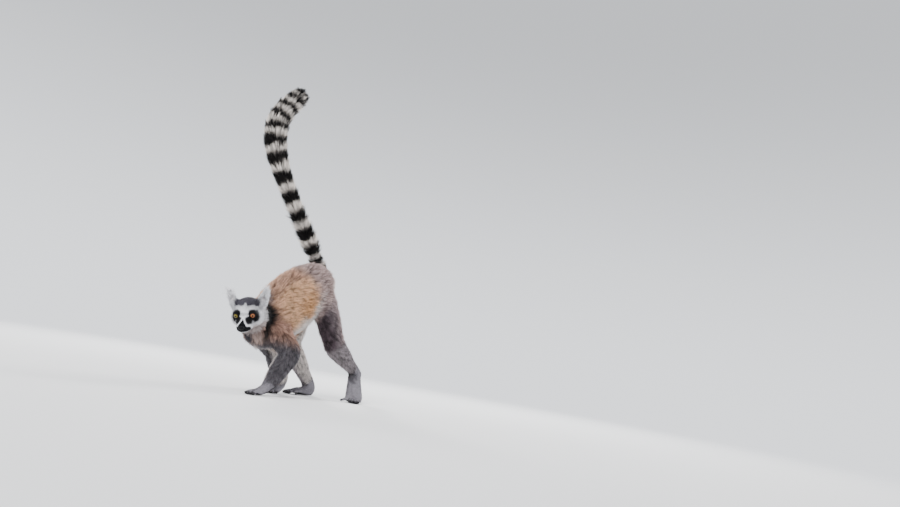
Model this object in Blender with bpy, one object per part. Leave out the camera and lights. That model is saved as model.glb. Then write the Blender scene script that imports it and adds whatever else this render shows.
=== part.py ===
"""Ring-tailed lemur, standing still in mid-stride, at life size.

The body is modelled whole, out to the tips of its coat, from lofted limbs and
rounded masses. It is then fused, smoothed, thinned to a light facet count and
parted with thin cuts into the pieces a person would name.

The animal faces -Y with its left side on +X. Sizes below are in centimetres
and degrees, and every mesh is scaled to metres as it is made. A heading is
measured from straight ahead towards the animal's left, a pitch upwards from
the level.
"""
import math

import bmesh
import bpy
from mathutils import Euler, Matrix, Vector

CM = 0.01
GAP = 0.03

# Stance
PELVIS = Vector((-0.9, 6.4, 26.8))
HALF_HIPS = 2.3
HALF_SHOULDERS = 2.9
TRUNK = (18.6, 6, -37)

# Limb bones: length, heading, pitch
THIGH_LEFT = (14.9, 159, -62)
SHANK_LEFT = (13.0, 188, -26)
THIGH_RIGHT = (14.6, -83, -83)
SHANK_RIGHT = (13.9, 180, -44)
ARM_LEFT = (8.0, 170, -42)
FOREARM_LEFT = (9.5, -10, -62)
ARM_RIGHT = (9.7, -179, -37)
FOREARM_RIGHT = (9.2, -168, -52)

# Head
NECK = (10.0, 22, 11)
HEAD_NOD = 19
HEAD_TILT = -10
HEAD_TURN = 36
EYE_RADIUS = 0.80
EYE_SPACING = 3.1
EYE_FRONT = 2.55
EYE_HEIGHT = 0.2
NOSE_AT = (0, -6.15, -1.75)
NOSE_RADII = (0.62, 0.42, 0.42)

# Tail: length, heading and pitch of each length from the root to the tip
TAIL_ROOT = (6.1, 212, 60)
TAIL = ((7.9, -17, 54), (13.5, -19, 53), (11.3, -28, 61), (8.2, -90, 83), (8.7, 166, 61))
TAIL_RADII = (2.5, 2.35, 2.2, 2.1, 2.05, 2.3, 2.8, 2.95, 2.85, 2.4)
TAIL_LENGTHS = 6
TAIL_FREE = 0.265

# Fusing, thinning and parting
RING_SIDES = 20
VOXEL = 0.25
SMOOTH_PASSES = 6
FACES_KEPT = 0.028
FINE_HEAD = 7.5
FINE_FEET = 3.0
FINE_WEIGHT = 0.88
MIDDLE = -0.9
NAPE = Vector((2.2, -12.6, 17.0))
NAPE_NORMAL = Vector((0.35, -0.85, 0.35)).normalized()
CELL_REACH = 60
LEAST_VERTICES = 12

LEFT, RIGHT = 1, -1


def reach(start, bone):
    """Return the point at the far end of a bone of (length, heading, pitch) that begins at start."""
    length, heading, pitch = bone
    turn, lift = math.radians(heading), math.radians(pitch)
    flat = length * math.cos(lift)
    return start + Vector((flat * math.sin(turn), -flat * math.cos(turn), length * math.sin(lift)))


def between(a, b, share):
    """Return the point that lies the given share of the way from a to b."""
    return a + (b - a) * share


def smooth_path(points, steps):
    """Return points on a Catmull-Rom curve through the given ones, steps to each span."""
    ends = [points[0] * 2 - points[1], *points, points[-1] * 2 - points[-2]]
    path = []
    for i in range(1, len(ends) - 2):
        for k in range(steps):
            t = k / steps
            p0, p1, p2, p3 = ends[i - 1:i + 3]
            path.append(0.5 * (2 * p1 + (p2 - p0) * t + (2 * p0 - 5 * p1 + 4 * p2 - p3) * t ** 2
                               + (3 * p1 - p0 - 3 * p2 + p3) * t ** 3))
    path.append(points[-1].copy())
    return path


# Masses of the body, gathered in one mesh

class Clay:
    """One mesh that gathers overlapping closed forms, before they are fused."""

    def __init__(self):
        self.mesh = bmesh.new()

    def loft(self, stations, side=Vector((1, 0, 0)), steps=4):
        """Add a closed limb through stations of (centre, half width along side, half depth)."""
        packed = [Vector((*p, w, d)) for p, w, d in stations]
        path = smooth_path(packed, steps)
        spots = [Vector(p[:3]) for p in path]
        rings = []
        for i, point in enumerate(path):
            along = (spots[min(i + 1, len(path) - 1)] - spots[max(i - 1, 0)]).normalized()
            deep = along.cross(side).normalized()
            wide = deep.cross(along)
            frame = Matrix((wide * max(point[3], 0.05), deep * max(point[4], 0.05), along)).transposed().to_4x4()
            frame.translation = spots[i]
            last = i in (0, len(path) - 1)
            ring = bmesh.ops.create_circle(self.mesh, cap_ends=last, segments=RING_SIDES, radius=1, matrix=frame)
            rings.append(ring["verts"])
        for near, far in zip(rings, rings[1:]):
            edges = ring_edges(near) + ring_edges(far)
            bmesh.ops.bridge_loops(self.mesh, edges=edges)

    def limb(self, joints, radii, **how):
        """Add a round limb through joints, with one radius at each."""
        self.loft([(p, r, r) for p, r in zip(joints, radii)], **how)

    def ball(self, centre, radii, turn=Matrix.Identity(3)):
        """Add an ellipsoid with its axes turned by a 3x3 matrix."""
        place = Matrix.Translation(centre) @ turn.to_4x4() @ Matrix.Diagonal((*radii, 1))
        bmesh.ops.create_icosphere(self.mesh, subdivisions=3, radius=1, matrix=place)

    def finish(self, name):
        """Return an object in metres that holds the gathered forms."""
        bmesh.ops.recalc_face_normals(self.mesh, faces=self.mesh.faces)
        bmesh.ops.scale(self.mesh, vec=(CM, CM, CM), verts=self.mesh.verts)
        data = bpy.data.meshes.new(name)
        self.mesh.to_mesh(data)
        self.mesh.free()
        body = bpy.data.objects.new(name, data)
        bpy.context.collection.objects.link(body)
        return body


def ring_edges(verts):
    """Return the edges that join the vertices of one ring, without those of its neighbours."""
    ring = set(verts)
    return list({e for v in verts for e in v.link_edges if e.other_vert(v) in ring})


# Skeleton

def skeleton():
    """Return the named joints of the stance, as points."""
    j = {"pelvis": PELVIS}
    j["withers"] = reach(PELVIS, TRUNK)
    for side, name in ((LEFT, "left"), (RIGHT, "right")):
        j["hip_" + name] = PELVIS + Vector((side * HALF_HIPS, 0, 0))
        j["shoulder_" + name] = j["withers"] + Vector((side * HALF_SHOULDERS, 0, 0))
    j["knee_left"] = reach(j["hip_left"], THIGH_LEFT)
    j["ankle_left"] = reach(j["knee_left"], SHANK_LEFT)
    j["knee_right"] = reach(j["hip_right"], THIGH_RIGHT)
    j["ankle_right"] = reach(j["knee_right"], SHANK_RIGHT)
    j["elbow_left"] = reach(j["shoulder_left"], ARM_LEFT)
    j["wrist_left"] = reach(j["elbow_left"], FOREARM_LEFT)
    j["elbow_right"] = reach(j["shoulder_right"], ARM_RIGHT)
    j["wrist_right"] = reach(j["elbow_right"], FOREARM_RIGHT)
    j["head"] = reach(j["withers"], NECK)
    j["tail_0"] = reach(PELVIS, TAIL_ROOT)
    for i, bone in enumerate(TAIL):
        j[f"tail_{i + 1}"] = reach(j[f"tail_{i}"], bone)
    return j


JOINTS = skeleton()
SPINE = (JOINTS["pelvis"] - JOINTS["withers"]).normalized()
ACROSS = SPINE.cross(Vector((0, 0, 1))).normalized()
BACK = ACROSS.cross(SPINE)
HEAD_TURNED = Euler([math.radians(a) for a in (HEAD_NOD, HEAD_TILT, HEAD_TURN)]).to_matrix()


def on_spine(share, rise=0.0):
    """Return a point a share of the way from the shoulders to the hips, lifted by rise off the spine."""
    return between(JOINTS["withers"], JOINTS["pelvis"], share) + BACK * rise


WAIST = on_spine(0.42, 0.5)

def on_head(x, y, z):
    """Return the point at x to the left, y behind and z above the head's centre, in the head's own frame."""
    return JOINTS["head"] + HEAD_TURNED @ Vector((x, y, z))


# Body

def add_trunk(clay):
    """Add the barrel of chest, belly and rump, with the haunches and the shoulder blades."""
    clay.loft([(on_spine(-0.32, 0.0), 1.4, 1.6),
               (on_spine(-0.24, 0.0), 3.2, 3.8),
               (on_spine(-0.08, 0.1), 4.5, 5.8),
               (on_spine(0.15, 0.3), 5.2, 7.0),
               (on_spine(0.45, 0.8), 5.8, 7.6),
               (on_spine(0.75, 1.1), 5.8, 7.2),
               (on_spine(1.00, 1.0), 5.4, 6.2),
               (on_spine(1.16, 0.4), 4.7, 4.9),
               (on_spine(1.27, 0.0), 3.4, 3.5),
               (on_spine(1.34, -0.1), 1.4, 1.4)], side=ACROSS)
    for side in (LEFT, RIGHT):
        clay.ball(on_spine(0.10, 1.2) + ACROSS * (side * 2.6), (2.2, 4.0, 3.6))
        clay.ball(on_spine(1.00, -0.8) + ACROSS * (side * 2.6), (2.7, 4.0, 4.2))


def add_neck(clay):
    """Add the furred neck from between the shoulders to the back of the skull."""
    clay.loft([(on_spine(0.05, 1.0), 4.0, 4.4),
               (on_spine(-0.12, 1.6), 3.9, 4.4),
               (between(JOINTS["withers"], JOINTS["head"], 0.62) + Vector((0, 0, 0.6)), 3.3, 3.7),
               (on_head(0, 1.2, 0.0), 3.0, 3.1)], side=ACROSS)


def add_head(clay):
    """Add the skull with its cheeks, brow, muzzle and lower jaw."""
    clay.ball(on_head(0, 0.7, 0.55), (3.05, 3.5, 2.75), HEAD_TURNED)
    clay.ball(on_head(0, -1.4, 0.4), (2.5, 2.05, 2.0), HEAD_TURNED)
    for side in (LEFT, RIGHT):
        clay.ball(on_head(side * 1.6, 0.1, -0.9), (2.05, 2.5, 2.2), HEAD_TURNED)
        clay.ball(on_head(side * 1.3, -1.9, 0.95), (1.05, 0.95, 0.75), HEAD_TURNED)
        clay.ball(on_head(side * 1.55, -1.95, 0.15), (1.3, 1.1, 1.15), HEAD_TURNED)
        clay.ball(on_head(side * 2.75, 0.9, 1.45), (1.25, 0.95, 1.3), HEAD_TURNED)
    side_axis = HEAD_TURNED @ Vector((1, 0, 0))
    clay.loft([(on_head(0, 0.2, -0.7), 3.2, 2.3),
               (on_head(0, -1.6, -0.65), 2.75, 2.1),
               (on_head(0, -2.9, -0.95), 2.05, 1.55),
               (on_head(0, -4.2, -1.45), 1.5, 1.15),
               (on_head(0, -5.3, -1.8), 1.15, 0.92),
               (on_head(0, -6.1, -2.0), 0.78, 0.65),
               (on_head(0, -6.4, -2.05), 0.4, 0.38)], side=side_axis)
    clay.loft([(on_head(0, -0.5, -1.9), 2.1, 1.0),
               (on_head(0, -2.8, -2.25), 1.95, 0.8),
               (on_head(0, -4.3, -2.45), 1.6, 0.68),
               (on_head(0, -5.2, -2.55), 1.1, 0.52),
               (on_head(0, -5.75, -2.55), 0.55, 0.3)], side=side_axis)


def add_ear(clay, side):
    """Add one upright ear, a scoop that opens forwards, with its tuft."""
    lobe = bmesh.ops.create_icosphere(clay.mesh, subdivisions=3, radius=1)["verts"]
    lean = Euler((math.radians(-4), math.radians(side * 27), math.radians(side * 24))).to_matrix()
    for v in lobe:
        x, y, z = v.co
        taper = 1 - 0.38 * max(z, 0)
        wide = 1.55 * x * taper
        bowed = 0.46 * y - 0.30 * wide ** 2 + 0.35
        v.co = on_head(side * 3.25, 0.9, 2.75) + HEAD_TURNED @ (lean @ Vector((wide, bowed, 2.45 * z)))


def add_foreleg(clay, name):
    """Add an upper arm and a forearm down to the wrist."""
    shoulder, elbow, wrist = (JOINTS[f"{part}_{name}"] for part in ("shoulder", "elbow", "wrist"))
    clay.limb([shoulder, between(shoulder, elbow, 0.45), elbow,
               between(elbow, wrist, 0.3), between(elbow, wrist, 0.7), wrist],
              (2.5, 2.9, 2.6, 2.55, 2.15, 1.35))


def add_hind_leg(clay, name):
    """Add a thigh and a shank down to the ankle."""
    hip, knee, ankle = (JOINTS[f"{part}_{name}"] for part in ("hip", "knee", "ankle"))
    clay.loft([(between(hip, knee, -0.05), 2.8, 4.0),
               (between(hip, knee, 0.35), 2.9, 4.0),
               (between(hip, knee, 0.75), 2.8, 3.4),
               (knee, 2.6, 3.0),
               (between(knee, ankle, 0.35), 2.3, 2.6),
               (between(knee, ankle, 0.72), 1.7, 1.9),
               (ankle, 1.45, 1.6)])


def add_digits(clay, root, knuckle_height, heading, spread, lengths, thickness):
    """Add five digits that fan out from root and lie on the floor; the first is the thumb or big toe."""
    for turn, length in zip(spread, lengths):
        knuckle = root.copy()
        knuckle.z = knuckle_height
        tip = reach(knuckle, (length, heading + turn, 0))
        tip.z = thickness * 0.5
        middle = between(knuckle, tip, 0.6)
        middle.z += 0.25
        clay.limb([knuckle, middle, tip, between(middle, tip, 1.15)],
                  (thickness * 1.25, thickness * 1.05, thickness, thickness * 0.55))


def add_hand(clay, name, heading, side):
    """Add a hand laid flat from the wrist, its fingers apart."""
    wrist = JOINTS["wrist_" + name]
    root = reach(Vector((wrist.x, wrist.y, 0.75)), (2.0, heading, 0))
    clay.loft([(wrist, 1.25, 1.25), (between(wrist, root, 0.45), 1.35, 1.1), (root, 1.6, 0.85),
               (reach(root, (0.7, heading, 0)), 1.3, 0.7)])
    spread = [side * turn for turn in (-62, -28, -6, 12, 34)]
    add_digits(clay, root, 0.85, heading, spread, (2.1, 2.8, 3.2, 3.3, 2.8), 0.46)


def add_flat_foot(clay, name, heading, side):
    """Add a hind foot that stands on its whole sole, heel down."""
    ankle = JOINTS["ankle_" + name]
    heel = reach(Vector((ankle.x, ankle.y, 1.0)), (1.2, heading + 180, 0))
    root = reach(Vector((ankle.x, ankle.y, 0.95)), (4.4, heading, 0))
    clay.limb([heel, between(heel, ankle, 0.6), ankle], (1.0, 1.35, 1.45))
    clay.loft([(heel, 1.05, 1.0), (between(heel, root, 0.4), 1.3, 1.25), (root, 1.55, 0.9),
               (reach(root, (0.7, heading, 0)), 1.2, 0.7)])
    spread = [side * turn for turn in (-52, -14, 2, 15, 30)]
    add_digits(clay, root, 0.85, heading, spread, (2.8, 2.9, 3.2, 3.5, 3.1), 0.50)


def add_raised_foot(clay, name, ball, heading, side):
    """Add a hind foot that stands on its toes, heel up."""
    ankle = JOINTS["ankle_" + name]
    heel = ankle + Vector((0, 1.3, -0.3))
    turn = math.radians(heading)
    across = Vector((math.cos(turn), math.sin(turn), 0))
    clay.limb([between(ankle, heel, -0.6), heel, between(heel, ball, 0.3)], (1.3, 1.15, 1.1))
    clay.loft([(ankle, 1.6, 1.5), (between(ankle, ball, 0.5), 2.0, 1.3), (ball, 2.4, 1.05),
               (reach(ball, (0.8, heading, -15)), 1.9, 0.8)], side=across)
    spread = [side * turn for turn in (-66, -16, 4, 22, 40)]
    add_digits(clay, ball, 1.0, heading, spread, (3.4, 2.7, 3.0, 3.1, 2.9), 0.50)


def tail_path(steps=8):
    """Return points and radii down the tail's own curve, with the root sunk in the rump."""
    spots = [between(JOINTS["pelvis"], JOINTS["tail_0"], 0.55)]
    spots += [JOINTS[f"tail_{i}"] for i in range(len(TAIL) + 1)]
    path = smooth_path(spots, steps)
    radii = []
    for i in range(len(path)):
        at = i / (len(path) - 1) * (len(TAIL_RADII) - 1)
        low = min(int(at), len(TAIL_RADII) - 2)
        radii.append(TAIL_RADII[low] + (TAIL_RADII[low + 1] - TAIL_RADII[low]) * (at - low))
    return path, radii


def add_tail(clay):
    """Add the long tail with its blunt, rounded tip."""
    path, radii = tail_path()
    end = (path[-1] - path[-2]).normalized()
    path += [path[-1] + end * 0.9, path[-1] + end * 1.5]
    radii += [radii[-1] * 0.8, radii[-1] * 0.35]
    clay.limb(path, radii, steps=1)


def whole_body():
    """Return the body's masses gathered in one object."""
    clay = Clay()
    add_trunk(clay)
    add_neck(clay)
    add_head(clay)
    for side in (LEFT, RIGHT):
        add_ear(clay, side)
    for name in ("left", "right"):
        add_foreleg(clay, name)
        add_hind_leg(clay, name)
    add_hand(clay, "left", -8, LEFT)
    add_hand(clay, "right", 2, RIGHT)
    add_flat_foot(clay, "right", -3, RIGHT)
    add_raised_foot(clay, "left", Vector((4.7, 23.2, 1.0)), 30, LEFT)
    add_tail(clay)
    return clay.finish("body")


# Fusing and thinning

def apply_modifiers(body):
    """Replace an object's mesh with what its modifiers make of it."""
    shaped = bpy.data.meshes.new_from_object(body.evaluated_get(bpy.context.evaluated_depsgraph_get()))
    body.modifiers.clear()
    body.data = shaped


def fuse(body):
    """Fuse the gathered masses into one smooth closed skin."""
    voxels = body.modifiers.new("Fuse", "REMESH")
    voxels.mode = "VOXEL"
    voxels.voxel_size = VOXEL * CM
    relax = body.modifiers.new("Smooth", "SMOOTH")
    relax.factor = 0.5
    relax.iterations = SMOOTH_PASSES
    apply_modifiers(body)


def thin(body):
    """Thin the skin to a light facet count, most of it on the plain body and least on the head and feet."""
    head = JOINTS["head"]
    fine = body.vertex_groups.new(name="plain")
    for v in body.data.vertices:
        near_head = (v.co / CM - head).length < FINE_HEAD
        fine.add([v.index], FINE_WEIGHT if near_head or v.co.z < FINE_FEET * CM else 1.0, "REPLACE")
    collapse = body.modifiers.new("Thin", "DECIMATE")
    collapse.ratio = FACES_KEPT
    collapse.vertex_group = "plain"
    collapse.use_collapse_triangulate = True
    apply_modifiers(body)


def cut_soles(body):
    """Cut whatever sinks below the floor off flat, so hands and feet stand on small flats at one level."""
    form = bmesh.new()
    form.from_mesh(body.data)
    slice_off(form, Vector((0, 0, 0)), Vector((0, 0, -1)))
    form.to_mesh(body.data)
    form.free()


# Parting

class Slit:
    """A closed form, 0.3 mm thin, that parts the body where it is carved out."""

    def __init__(self, form):
        self.form = form

    @classmethod
    def across(cls, centre, normal, size):
        """Return a thin disc that cuts right across a limb."""
        form = bmesh.new()
        place = Matrix.Translation(centre) @ Vector(normal).to_track_quat("Z", "Y").to_matrix().to_4x4()
        bmesh.ops.create_cone(form, cap_ends=True, segments=24, radius1=size, radius2=size, depth=GAP, matrix=place)
        return cls(form)

    @classmethod
    def around(cls, planes):
        """Return the thin shell of the space behind several planes of (point, outward normal)."""
        form = bmesh.new()
        for inset, flip in ((0, False), (GAP, True)):
            cell = bmesh.new()
            bmesh.ops.create_cube(cell, size=2 * CELL_REACH)
            for point, normal in planes:
                outward = Vector(normal).normalized()
                slice_off(cell, point - outward * inset, outward)
            if flip:
                bmesh.ops.reverse_faces(cell, faces=cell.faces)
            data = bpy.data.meshes.new("cell")
            cell.to_mesh(data)
            cell.free()
            form.from_mesh(data)
        return cls(form)

    def carve(self, body):
        """Take the slit out of the body."""
        bmesh.ops.scale(self.form, vec=(CM, CM, CM), verts=self.form.verts)
        carve_out(body, self.form)


def slice_off(form, point, normal):
    """Cut off all that lies beyond a plane and close the cut."""
    parts = form.verts[:] + form.edges[:] + form.faces[:]
    cut = bmesh.ops.bisect_plane(form, geom=parts, dist=1e-6, plane_co=point, plane_no=normal, clear_outer=True)
    rim = [e for e in cut["geom_cut"] if isinstance(e, bmesh.types.BMEdge)]
    bmesh.ops.holes_fill(form, edges=rim, sides=0)
    bmesh.ops.recalc_face_normals(form, faces=form.faces)


def carve_out(body, form):
    """Subtract a closed bmesh, in metres, from an object."""
    data = bpy.data.meshes.new("cutter")
    form.to_mesh(data)
    form.free()
    cutter = bpy.data.objects.new("cutter", data)
    bpy.context.collection.objects.link(cutter)
    difference = body.modifiers.new("Carve", "BOOLEAN")
    difference.operation = "DIFFERENCE"
    difference.solver = "EXACT"
    difference.object = cutter
    apply_modifiers(body)
    bpy.data.objects.remove(cutter)


def bend_normal(before, joint, after):
    """Return the mean direction of the two bones that meet at a joint."""
    arrive = (JOINTS[joint] - JOINTS[before]).normalized()
    leave = (JOINTS[after] - JOINTS[joint]).normalized()
    return (arrive + leave).normalized()


def upper_arm_cell(name, side, armpit, slope):
    """Return the planes round an upper arm: the chest's side, the elbow, and the front and back of the shoulder."""
    return [(armpit, Vector((-side * math.cos(slope), 0, math.sin(slope)))),
            (JOINTS["elbow_" + name], bend_normal("shoulder_" + name, "elbow_" + name, "wrist_" + name)),
            (Vector((0, 1.9, 0)), Vector((0, 1, 0))),
            (WAIST + SPINE * 0.4 * GAP, SPINE),
            (NAPE + NAPE_NORMAL * 0.4 * GAP, NAPE_NORMAL),
            (Vector((0.9, 0, 0)), Vector((-side, 0, 0)))]


def thigh_cell(name, side, front):
    """Return the planes round a thigh: the groin and haunch, the body's middle, its front, and the knee."""
    groin = Vector((MIDDLE, 10, 20.9))
    return [(groin, Vector((-side * 0.50, -0.75, 0.43))),
            (groin + Vector((side * GAP, 0, 0)), Vector((-side, 0, 0))),
            (Vector((0, front, 0)), Vector((0, -1, 0))),
            (JOINTS["knee_" + name], bend_normal("hip_" + name, "knee_" + name, "ankle_" + name))]


def all_slits():
    """Return every slit that parts the body into its named pieces."""
    neck_way = (JOINTS["head"] - JOINTS["withers"]).normalized()
    slits = [Slit.across(JOINTS["head"] - neck_way * 3.3 + Vector((0, 0, 0.5)), neck_way, 6.2),
             Slit.across(NAPE, NAPE_NORMAL, 10),
             Slit.across(WAIST, SPINE, 9.2),
             Slit.around(upper_arm_cell("left", LEFT, Vector((3.6, -6, 13.8)), math.radians(31))),
             Slit.around(upper_arm_cell("right", RIGHT, Vector((-1.8, -6, 13.4)), math.radians(33)))]
    for side, name, front in ((LEFT, "left", 5.4), (RIGHT, "right", 2.4)):
        slits.append(Slit.around(thigh_cell(name, side, front)))
        slits.append(Slit.across(on_head(side * 3.0, 0.9, 2.35), HEAD_TURNED @ Vector((side * 0.77, 0, 0.64)), 2.8))
        for upper, lower, share, size in (("elbow_", "wrist_", 0.90, 2.6), ("knee_", "ankle_", 0.86, 3.2)):
            start, end = JOINTS[upper + name], JOINTS[lower + name]
            slits.append(Slit.across(between(start, end, share), end - start, size))
    path, radii = tail_path()
    for i in range(TAIL_LENGTHS):
        at = round((TAIL_FREE + (1 - TAIL_FREE) * i / TAIL_LENGTHS) * (len(path) - 1))
        slits.append(Slit.across(path[at], path[at + 1] - path[at - 1], radii[at] + 1.2))
    return slits


# Pieces

COLOURS = {
    "white_fur": ((0.80, 0.78, 0.74), 0.85),
    "grey_fur": ((0.30, 0.27, 0.25), 0.85),
    "brown_fur": ((0.42, 0.30, 0.20), 0.85),
    "dark_fur": ((0.03, 0.03, 0.03), 0.85),
    "pale_fur": ((0.55, 0.52, 0.49), 0.85),
    "nose_skin": ((0.02, 0.02, 0.02), 0.45),
    "eye": ((0.75, 0.30, 0.05), 0.08),
}


def piece_labels():
    """Return each piece's name with the middle of where it lies and its colour."""
    j = JOINTS
    labels = {"head": (on_head(0, -0.8, 0), "white_fur"),
              "neck": (between(j["withers"], j["head"], 0.5), "pale_fur"),
              "chest": (on_spine(0.12), "grey_fur"),
              "rump": (on_spine(0.9), "brown_fur")}
    for side, name in ((LEFT, "left"), (RIGHT, "right")):
        labels["ear_" + name] = (on_head(side * 4.0, 0.9, 4.0), "white_fur")
        labels["upper_arm_" + name] = (between(j["shoulder_" + name], j["elbow_" + name], 0.5)
                                       + Vector((side * 1.5, 0, -1.0)), "grey_fur")
        labels["forearm_" + name] = (between(j["elbow_" + name], j["wrist_" + name], 0.45), "grey_fur")
        labels["hand_" + name] = (j["wrist_" + name] + Vector((0, -2.5, -1)), "pale_fur")
        labels["thigh_" + name] = (between(j["hip_" + name], j["knee_" + name], 0.6), "grey_fur")
        labels["shank_" + name] = (between(j["knee_" + name], j["ankle_" + name], 0.4), "pale_fur")
        labels["foot_" + name] = (Vector((j["ankle_" + name].x, j["ankle_" + name].y - 2, 2)), "pale_fur")
    path, _ = tail_path()
    for i in range(TAIL_LENGTHS):
        at = round((TAIL_FREE + (1 - TAIL_FREE) * (i + 0.5) / TAIL_LENGTHS) * (len(path) - 1))
        labels[f"tail_{i + 1}"] = (path[at], "dark_fur")
    return labels


def material(name):
    """Return the named material, made on first use."""
    found = bpy.data.materials.get(name)
    if found:
        return found
    colour, roughness = COLOURS[name]
    made = bpy.data.materials.new(name)
    made.use_nodes = True
    shader = made.node_tree.nodes["Principled BSDF"]
    shader.inputs["Base Color"].default_value = (*colour, 1)
    shader.inputs["Roughness"].default_value = roughness
    shader.inputs["Metallic"].default_value = 0
    made.diffuse_color = (*colour, 1)
    return made


def islands(form):
    """Return the separate bodies of a bmesh, each as a set of vertices."""
    left, found = set(form.verts), []
    while left:
        body = {left.pop()}
        edge = list(body)
        while edge:
            for link in edge.pop().link_edges:
                for v in link.verts:
                    if v not in body:
                        body.add(v)
                        edge.append(v)
        left -= body
        found.append(body)
    return found


def add_object(name, form, colour):
    """Make a named object of a bmesh in metres and give it its colour."""
    data = bpy.data.meshes.new(name)
    form.to_mesh(data)
    form.free()
    piece = bpy.data.objects.new(name, data)
    piece.data.materials.clear()
    piece.data.materials.append(material(colour))
    bpy.context.collection.objects.link(piece)
    data.shade_smooth()
    data.set_sharp_from_angle(angle=math.radians(50))
    return piece


def part_body(body):
    """Turn each separate body of the parted mesh into its own named object."""
    whole = bmesh.new()
    whole.from_mesh(body.data)
    labels = piece_labels()
    pieces = {}
    for verts in islands(whole):
        if len(verts) < LEAST_VERTICES:
            continue
        low = Vector([min(v.co[k] for v in verts) for k in range(3)])
        high = Vector([max(v.co[k] for v in verts) for k in range(3)])
        middle = (low + high) / 2 / CM
        name = min(labels, key=lambda label: (labels[label][0] - middle).length)
        assert name not in pieces, name
        form = whole.copy()
        keep = {v.index for v in verts}
        form.verts.ensure_lookup_table()
        bmesh.ops.delete(form, geom=[v for v in form.verts if v.index not in keep], context="VERTS")
        pieces[name] = add_object(name, form, labels[name][1])
    whole.free()
    bpy.data.objects.remove(body)
    missing = set(labels) - set(pieces)
    assert not missing, missing
    return pieces


def round_form(centre, radii, turn=Matrix.Identity(3)):
    """Return an ellipsoid as a bmesh in metres."""
    form = bmesh.new()
    place = Matrix.Translation(centre) @ turn.to_4x4() @ Matrix.Diagonal((*radii, 1))
    bmesh.ops.create_uvsphere(form, u_segments=16, v_segments=10, radius=1, matrix=place)
    bmesh.ops.scale(form, vec=(CM, CM, CM), verts=form.verts)
    return form


def set_in(head, name, centre, radii, colour, turn=Matrix.Identity(3)):
    """Set a rounded piece, such as an eye, in the head, in a socket with a hair's gap round it."""
    carve_out(head, round_form(centre, [r + GAP for r in radii], turn))
    return add_object(name, round_form(centre, radii, turn), colour)


def set_eyes_and_nose(pieces):
    """Set the eyeballs and the bare nose in the head."""
    head = pieces["head"]
    for side, name in ((LEFT, "eye_left"), (RIGHT, "eye_right")):
        centre = on_head(side * EYE_SPACING / 2, -EYE_FRONT, EYE_HEIGHT)
        pieces[name] = set_in(head, name, centre, [EYE_RADIUS] * 3, "eye")
    pieces["nose"] = set_in(head, "nose", on_head(*NOSE_AT), NOSE_RADII, "nose_skin", HEAD_TURNED)


def centre_on_floor(pieces):
    """Shift every piece so that the middle of the whole model's box is over the origin."""
    corners = [v.co for piece in pieces.values() for v in piece.data.vertices]
    shift = Vector([-(min(c[k] for c in corners) + max(c[k] for c in corners)) / 2 for k in range(2)] + [0])
    for piece in pieces.values():
        piece.data.transform(Matrix.Translation(shift))
    return shift


def main():
    """Build the lemur."""
    for old in list(bpy.data.objects):
        bpy.data.objects.remove(old)
    body = whole_body()
    fuse(body)
    thin(body)
    cut_soles(body)
    for slit in all_slits():
        slit.carve(body)
    pieces = part_body(body)
    set_eyes_and_nose(pieces)
    centre_on_floor(pieces)


if __name__ == "__main__":
    main()
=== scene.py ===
"""The looks of a ring-tailed lemur, life size, in mid-stride with its banded tail held high.

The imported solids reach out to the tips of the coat. One skin is made from the pieces of flesh
and sunk by the coat's depth at each place. Closed tufts of hair are planted all over it, along
the lie of the coat, with their tips at the outer surface. Skin and tufts take their colours from
the same markings. Eyes, lid rims, nose and nails are pieces of their own.

The animal faces -Y with its left side on +X. The head has a frame of its own, in centimetres:
x to the animal's left, y to the back of the head, z up.
"""
from __future__ import annotations

import logging
import math
from dataclasses import dataclass, field, fields
from enum import IntEnum
from typing import Any

import bmesh
import bpy
import numpy as np
from mathutils import Matrix, Vector, noise
from mathutils.bvhtree import BVHTree
from mathutils.kdtree import KDTree


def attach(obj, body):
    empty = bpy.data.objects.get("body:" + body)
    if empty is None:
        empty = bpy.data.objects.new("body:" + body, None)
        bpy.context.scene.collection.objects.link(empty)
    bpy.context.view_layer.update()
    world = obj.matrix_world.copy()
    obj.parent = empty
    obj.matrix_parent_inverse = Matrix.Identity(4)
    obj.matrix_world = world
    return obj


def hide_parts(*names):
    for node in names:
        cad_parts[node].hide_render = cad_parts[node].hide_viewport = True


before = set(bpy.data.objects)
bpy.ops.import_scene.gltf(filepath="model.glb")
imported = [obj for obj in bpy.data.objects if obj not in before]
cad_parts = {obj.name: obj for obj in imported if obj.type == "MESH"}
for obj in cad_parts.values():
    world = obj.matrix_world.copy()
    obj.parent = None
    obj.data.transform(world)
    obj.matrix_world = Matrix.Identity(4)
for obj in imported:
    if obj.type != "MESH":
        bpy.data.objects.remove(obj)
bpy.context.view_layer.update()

CM = 0.01
MM = 0.001
NOT_FLESH = ("eye_left", "eye_right", "nose")
EARS = ("ear_left", "ear_right")
FAR_FROM_EYE = 9.0
log = logging.getLogger("lemur")

Array = np.ndarray


class Side(IntEnum):
    """A side of the animal, as the sign of x there."""

    RIGHT = -1
    MIDDLE = 0
    LEFT = 1


BOTH_SIDES = (Side.LEFT, Side.RIGHT)


# Sums and meshes

def linear(colour: str) -> Array:
    """Turn an sRGB hex colour into linear red, green and blue.

    Args:
        colour: The colour as "#RRGGBB".

    Returns:
        The three linear values, from 0 to 1.
    """
    shown = np.array([int(colour[i:i + 2], 16) / 255 for i in (1, 3, 5)])
    return np.where(shown <= 0.04045, shown / 12.92, ((shown + 0.055) / 1.055) ** 2.4)


def ramp(value: Array, low: float, high: float) -> Array:
    """Ease each value from 0 at low to 1 at high; high may be the smaller one.

    Args:
        value: The values.
        low: Where the ramp is 0.
        high: Where the ramp is 1.

    Returns:
        The eased values.
    """
    share = np.clip((value - low) / (high - low), 0, 1)
    return share * share * (3 - 2 * share)


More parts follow.
